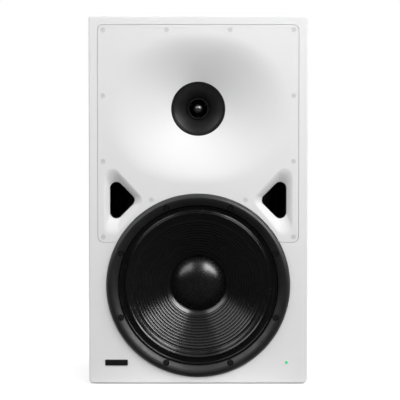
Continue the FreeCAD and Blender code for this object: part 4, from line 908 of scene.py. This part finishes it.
class MONITOR_OT_trim_ring(bpy.types.Operator):
    """Bulging rubber ring round the woofer, drilled for its screws"""

    bl_idname = "monitor.trim_ring"
    bl_label = "Trim ring"

    def execute(self, context):
        inner, rebate = 117.5, 119
        outline = [
            (TRIM_RADIUS, 0), (TRIM_RADIUS, -1.8, 0.5), (132.4, -5.6, 3.4), (128.0, -7, 3.6),
            (122.6, -4.6, 4), (117.7, -0.6, 0.8), (inner, 4), (rebate, 4), (rebate, 1),
        ]
        mesh = turned(outline, WOOFER, context.scene.monitor_sizes.turn_steps)
        piece = new_object(mesh, "trim_ring", "rubber_black")
        drill = bmesh.new()
        for step in range(WOOFER_SCREWS):
            spot = WOOFER + outward(FULL_TURN * (step + 0.5) / WOOFER_SCREWS) * SCREW_CIRCLE * MM
            bmesh.ops.create_cone(
                drill, cap_ends=True, segments=32, radius1=SCREW_HOLE * MM, radius2=SCREW_HOLE * MM,
                depth=40 * MM, matrix=upright(spot),
            )
        cut_away(piece, new_object(drill, "drill", "rubber_black"))
        fit(piece, "cabinet", "rubber_black", "woofer_trim_ring")
        dress("woofer_screws", "woofer_frame", "woofer_gasket")
        return {"FINISHED"}


class MONITOR_OT_surround(bpy.types.Operator):
    """Rubber surround in sectors that reach from the frame to the cone"""

    bl_idname = "monitor.surround"
    bl_label = "Surround"

    def execute(self, context):
        parts = context.scene.monitor_sizes.surround_parts
        outer, flat, back = 118.7, 4.2, 5.0
        thin_ring = swept((116.9, 3.15), (116.6, 2.7), (116.1, 2.4), (115.6, 2.4), 8)
        thin_ring += swept((115.6, 2.4), (115.1, 2.4), (114.6, 2.7), (114.3, 3.15), 8)[1:]
        wide_ring = swept((107.9, 2.3), (107.5, 1.7), (106.9, 1.3), (106.2, 1.3), 10)
        wide_ring += swept((106.2, 1.3), (104.8, 1.3), (104.6, 2.3), (103.4, 2.9), 9)[1:]
        outline = [
            (outer, flat), (117.9, flat), (117.5, flat), *thin_ring, (113.7, flat), (109.0, flat),
            *wide_ring, (103.0, 3.1), (97.6, 4.9), (97.5, back), (outer, back),
        ]
        sweep = FULL_TURN / parts
        for number in range(parts):
            mesh = turned(outline, WOOFER, SECTOR_STEPS, sweep, sweep * number)
            piece = new_object(mesh, f"surround_{number + 1:02d}", "surround_rubber", 60)
            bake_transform(piece)
            if number == 0:
                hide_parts("woofer_surround")
        return {"FINISHED"}


class MONITOR_OT_cone(bpy.types.Operator):
    """Woofer cone with its concentric ridges"""

    bl_idname = "monitor.cone"
    bl_label = "Cone"

    def execute(self, context):
        sizes = context.scene.monitor_sizes
        front = [(radius, cone_depth(radius)) for radius in (CONE_NECK, 44, 46.6)]
        for number in range(sizes.rib_count):
            start = RIB_START + RIB_PITCH * number + RIB_GAP
            for step in range(RIB_STEPS + 1):
                share = step / RIB_STEPS
                radius = start + (RIB_PITCH - 2 * RIB_GAP) * share
                lift = sizes.rib_height / MM * math.sin(math.pi * share)
                front.append((radius, cone_depth(radius) - lift))
        front += [(96.2, cone_depth(96.2)), (97.2, CONE_FRONT), (CONE_FLANGE, CONE_FRONT)]
        rear = CONE_FRONT + CONE_WALL
        back = [(CONE_FLANGE, rear), (96, rear), (CONE_NECK, cone_depth(CONE_NECK) + NECK_WALL)]
        mesh = turned(front + back, WOOFER, sizes.turn_steps)
        piece = new_object(mesh, "cone", "cone_black", 70)
        fit(piece, "woofer_moving", "cone_black", "woofer_cone")
        return {"FINISHED"}


class MONITOR_OT_dust_cap(bpy.types.Operator):
    """Domed dust cap in the middle of the cone"""

    bl_idname = "monitor.dust_cap"
    bl_label = "Dust cap"

    def execute(self, context):
        ball = (CAP_RADIUS ** 2 + CAP_HEIGHT ** 2) / (2 * CAP_HEIGHT)
        edge = cone_depth(CAP_RADIUS) - CAP_PROUD
        top = edge - CAP_LIP - CAP_HEIGHT
        turns = [math.asin(CAP_RADIUS / ball) * step / CAP_STEPS for step in range(CAP_STEPS + 1)]
        front = [(ball * math.sin(turn), top + ball * (1 - math.cos(turn))) for turn in turns]
        core = ball - CAP_WALL
        under = top + CAP_WALL
        back = [(core * math.sin(turn), under + core * (1 - math.cos(turn))) for turn in turns[:-1]]
        outline = front + [(CAP_RADIUS, edge)] + back[::-1]
        mesh = turned(outline, WOOFER, context.scene.monitor_sizes.turn_steps)
        piece = new_object(mesh, "dust_cap", "cap_black")
        fit(piece, "woofer_moving", "cone_black", "woofer_dust_cap")
        return {"FINISHED"}


class MONITOR_OT_woofer_motor(bpy.types.Operator):
    """Magnet, coil and spider behind the cone"""

    bl_idname = "monitor.woofer_motor"
    bl_label = "Woofer motor"

    def execute(self, context):
        dress("woofer_coil_former", "woofer_voice_coil", "woofer_spider")
        dress("woofer_top_plate", "woofer_magnet", "woofer_yoke")
        return {"FINISHED"}


class MONITOR_OT_front_details(bpy.types.Operator):
    """Bare badge plate with broken edges, and the status light"""

    bl_idname = "monitor.front_details"
    bl_label = "Front details"

    def execute(self, context):
        low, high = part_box("name_badge")
        mesh = block((low + high) / 2, high - low)
        corners = [e for e in mesh.edges if abs((e.verts[0].co - e.verts[1].co).normalized().y) > 0.9]
        soften(mesh, corners, BADGE_CORNER, 5, "EDGES")
        rim = [e for e in mesh.edges if all(v.co.y < low.y + TOUCHING for v in e.verts)]
        soften(mesh, rim, BADGE_BREAK, 3, "EDGES")
        piece = new_object(mesh, "badge_plate", "plastic_black")
        fit(piece, "cabinet", "plastic_black", "name_badge")
        dress("status_light")
        return {"FINISHED"}


class MONITOR_OT_rear_panel(bpy.types.Operator):
    """Amplifier panel, heat sink, inlet, input, switch and level knob with its white mark"""

    bl_idname = "monitor.rear_panel"
    bl_label = "Rear panel"

    def execute(self, context):
        dress("amp_panel", "amp_panel_screws", "heat_sink", "mains_inlet", "inlet_pins")
        dress("signal_input_socket", "power_switch_housing", "power_rocker", "level_knob", "level_pot")
        low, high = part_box("level_knob")
        middle, radius = middle_of("level_knob"), (high.z - low.z) / 2
        spot = Vector((middle.x, high.y - MARK_SUNK * MM, middle.z + radius * MARK_PLACE))
        play = MARK_PLAY * MM
        mesh = block(spot, (MARK_WIDTH * MM - play, MARK_THICKNESS * MM, radius * MARK_LENGTH - play))
        fit(new_object(mesh, "knob_mark", "white_screw"), "knob", "white_screw")
        return {"FINISHED"}


class MONITOR_OT_electronics(bpy.types.Operator):
    """Circuit board, capacitors, transformer and leads"""

    bl_idname = "monitor.electronics"
    bl_label = "Electronics"

    def execute(self, context):
        dress("amp_board", "board_standoffs", "filter_capacitors", "mains_transformer", "transformer_clamp")
        dress("terminal_strips", "tweeter_lead", "woofer_lead")
        return {"FINISHED"}


# Studio


WHITE = (1, 1, 1, 1)


def studio_world(strength):
    """Even room light, white to look at, mirrored as a dim half round the camera with a pale ceiling."""
    world = bpy.data.worlds.new("studio")
    sky = Wiring(world)
    room = put(sky.nodes["Background"], Color=WHITE, Strength=strength).outputs["Background"]
    white, dim = [
        put(sky.nodes.new("ShaderNodeBackground"), Color=WHITE, Strength=level).outputs["Background"]
        for level in (1.0, 0.015)
    ]
    ceiling = sky.nodes.new("ShaderNodeMath")
    ceiling.operation = "POWER"
    ceiling.inputs[1].default_value = 2.0
    sky.links.new(sky.ramp(sky.along("Z"), 0.5, 1.0, high=0.68, kind="LINEAR"), ceiling.inputs[0])
    front = sky.mix(ceiling.outputs["Value"], dim, white)
    mirrored = sky.mix(sky.ramp(sky.along("Y"), -0.15, 0.4), front, white)
    sky.links.new(sky.by_ray(room, mirrored, white), sky.nodes["World Output"].inputs["Surface"])
    bpy.context.scene.world = world


def studio_floor():
    """Pale floor that keeps the shadow near the speaker and turns white further out."""
    mesh = bmesh.new()
    bmesh.ops.create_circle(mesh, cap_ends=True, segments=96, radius=6.0)
    data = bpy.data.meshes.new("floor")
    mesh.to_mesh(data)
    mesh.free()
    floor = bpy.data.objects.new("floor", data)
    bpy.context.scene.collection.objects.link(floor)
    pale = Finish("pale_floor", (0.8, 0.8, 0.8), 0.8)
    pale.gloss(pale.noise(14, 3), 0.75, 0.85)
    pale.set(Emission_Color=WHITE, Emission_Strength=0.42)
    white = put(pale.nodes.new("ShaderNodeEmission"), Strength=1.0).outputs["Emission"]
    light, grey, dark = [
        put(pale.nodes.new("ShaderNodeBsdfDiffuse"), Color=(level, level, level, 1)).outputs["BSDF"]
        for level in (0.7, 0.17, 0.03)
    ]
    reach = pale.nodes.new("ShaderNodeVectorMath")
    reach.operation = "LENGTH"
    pale.links.new(pale.place, reach.inputs[0])
    away = reach.outputs["Value"]
    bounce = pale.mix(pale.ramp(away, 0.19, 0.28), light, grey)
    mirrored = pale.mix(pale.ramp(pale.along("Y"), 0.3, 1.2), dark, white)
    seen = pale.mix(pale.ramp(away, 0.5, 1.3), pale.shader.outputs["BSDF"], white)
    shown = pale.by_ray(bounce, mirrored, seen)
    pale.links.new(shown, pale.nodes["Material Output"].inputs["Surface"])
    data.materials.append(pale.material)


def lamp(name, power, place, target, size, roll=0.0):
    """A soft box that looks at a point, turned by a roll in degrees about its own axis."""
    data = bpy.data.lights.new(name, "AREA")
    data.shape = "RECTANGLE"
    data.size, data.size_y = size
    data.energy = power
    box = bpy.data.objects.new(name, data)
    box.location = place
    facing = (Vector(target) - Vector(place)).to_track_quat("-Z", "Y")
    box.rotation_euler = (facing @ Quaternion((0, 0, 1), math.radians(roll))).to_euler()
    bpy.context.scene.collection.objects.link(box)
    return box


class MONITOR_OT_stage(bpy.types.Operator):
    """Pale floor, white room, four soft boxes and the camera"""

    bl_idname = "monitor.stage"
    bl_label = "Studio"

    def execute(self, context):
        scene = context.scene
        sizes = scene.monitor_sizes
        scene.view_settings.view_transform = "Standard"
        studio_world(sizes.room_light)
        studio_floor()
        front, back = (0, FRONT_Y, 0.3), (0, 0.16, 0.25)
        lamp("right_box", sizes.key_power, (1.30, -1.07, 1.45), WOOFER, size=(1.65, 0.75), roll=-38)
        lamp("left_box", sizes.fill_power, (-1.30, -1.07, 1.50), WOOFER, size=(1.65, 0.9), roll=38)
        unmirrored = lamp("front_box", sizes.front_power, (0.42, -1.50, 1.15), front, size=(0.9, 0.6))
        unmirrored.visible_glossy = False
        lamp("rear_box", sizes.rear_power, (0.7, 2.3, 0.95), back, size=(2.4, 1.2))
        data = bpy.data.cameras.new("camera")
        camera = bpy.data.objects.new("camera", data)
        camera.location = (PICTURE_MIDDLE.x, FRONT_Y - sizes.camera_distance, sizes.camera_height)
        away = PICTURE_MIDDLE - camera.location
        camera.rotation_euler = away.to_track_quat("-Z", "Y").to_euler()
        data.sensor_width = 36
        data.lens = data.sensor_width * away.length / sizes.view_width
        data.clip_end = 50
        scene.collection.objects.link(camera)
        scene.camera = camera
        return {"FINISHED"}


# Panel


class MONITOR_PT_pieces(bpy.types.Panel):
    """Lists the pieces and the studio"""

    bl_idname = "MONITOR_PT_pieces"
    bl_label = "Studio monitor"
    bl_space_type = "VIEW_3D"
    bl_region_type = "UI"
    bl_category = "Monitor"

    def draw(self, context):
        for operator in OPERATORS:
            self.layout.operator(operator.bl_idname)


OPERATORS = (
    MONITOR_OT_cabinet_front,
    MONITOR_OT_cabinet_boards,
    MONITOR_OT_waveguide,
    MONITOR_OT_waveguide_fixings,
    MONITOR_OT_throat,
    MONITOR_OT_compression_driver,
    MONITOR_OT_ports,
    MONITOR_OT_trim_ring,
    MONITOR_OT_surround,
    MONITOR_OT_cone,
    MONITOR_OT_dust_cap,
    MONITOR_OT_woofer_motor,
    MONITOR_OT_front_details,
    MONITOR_OT_rear_panel,
    MONITOR_OT_electronics,
    MONITOR_OT_stage,
)
CLASSES = (MonitorSizes, MonitorColours, *OPERATORS, MONITOR_PT_pieces)


def register():
    """Registers the classes and hangs the settings on the scene."""
    for item in CLASSES:
        bpy.utils.register_class(item)
    bpy.types.Scene.monitor_sizes = PointerProperty(type=MonitorSizes)
    bpy.types.Scene.monitor_colours = PointerProperty(type=MonitorColours)


def unregister():
    """Takes the settings and the classes away again."""
    del bpy.types.Scene.monitor_colours
    del bpy.types.Scene.monitor_sizes
    for item in reversed(CLASSES):
        bpy.utils.unregister_class(item)


def main():
    """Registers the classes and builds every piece."""
    register()
    for operator in OPERATORS:
        getattr(bpy.ops.monitor, operator.bl_idname.split(".")[1])()


if __name__ == "__main__":
    main()
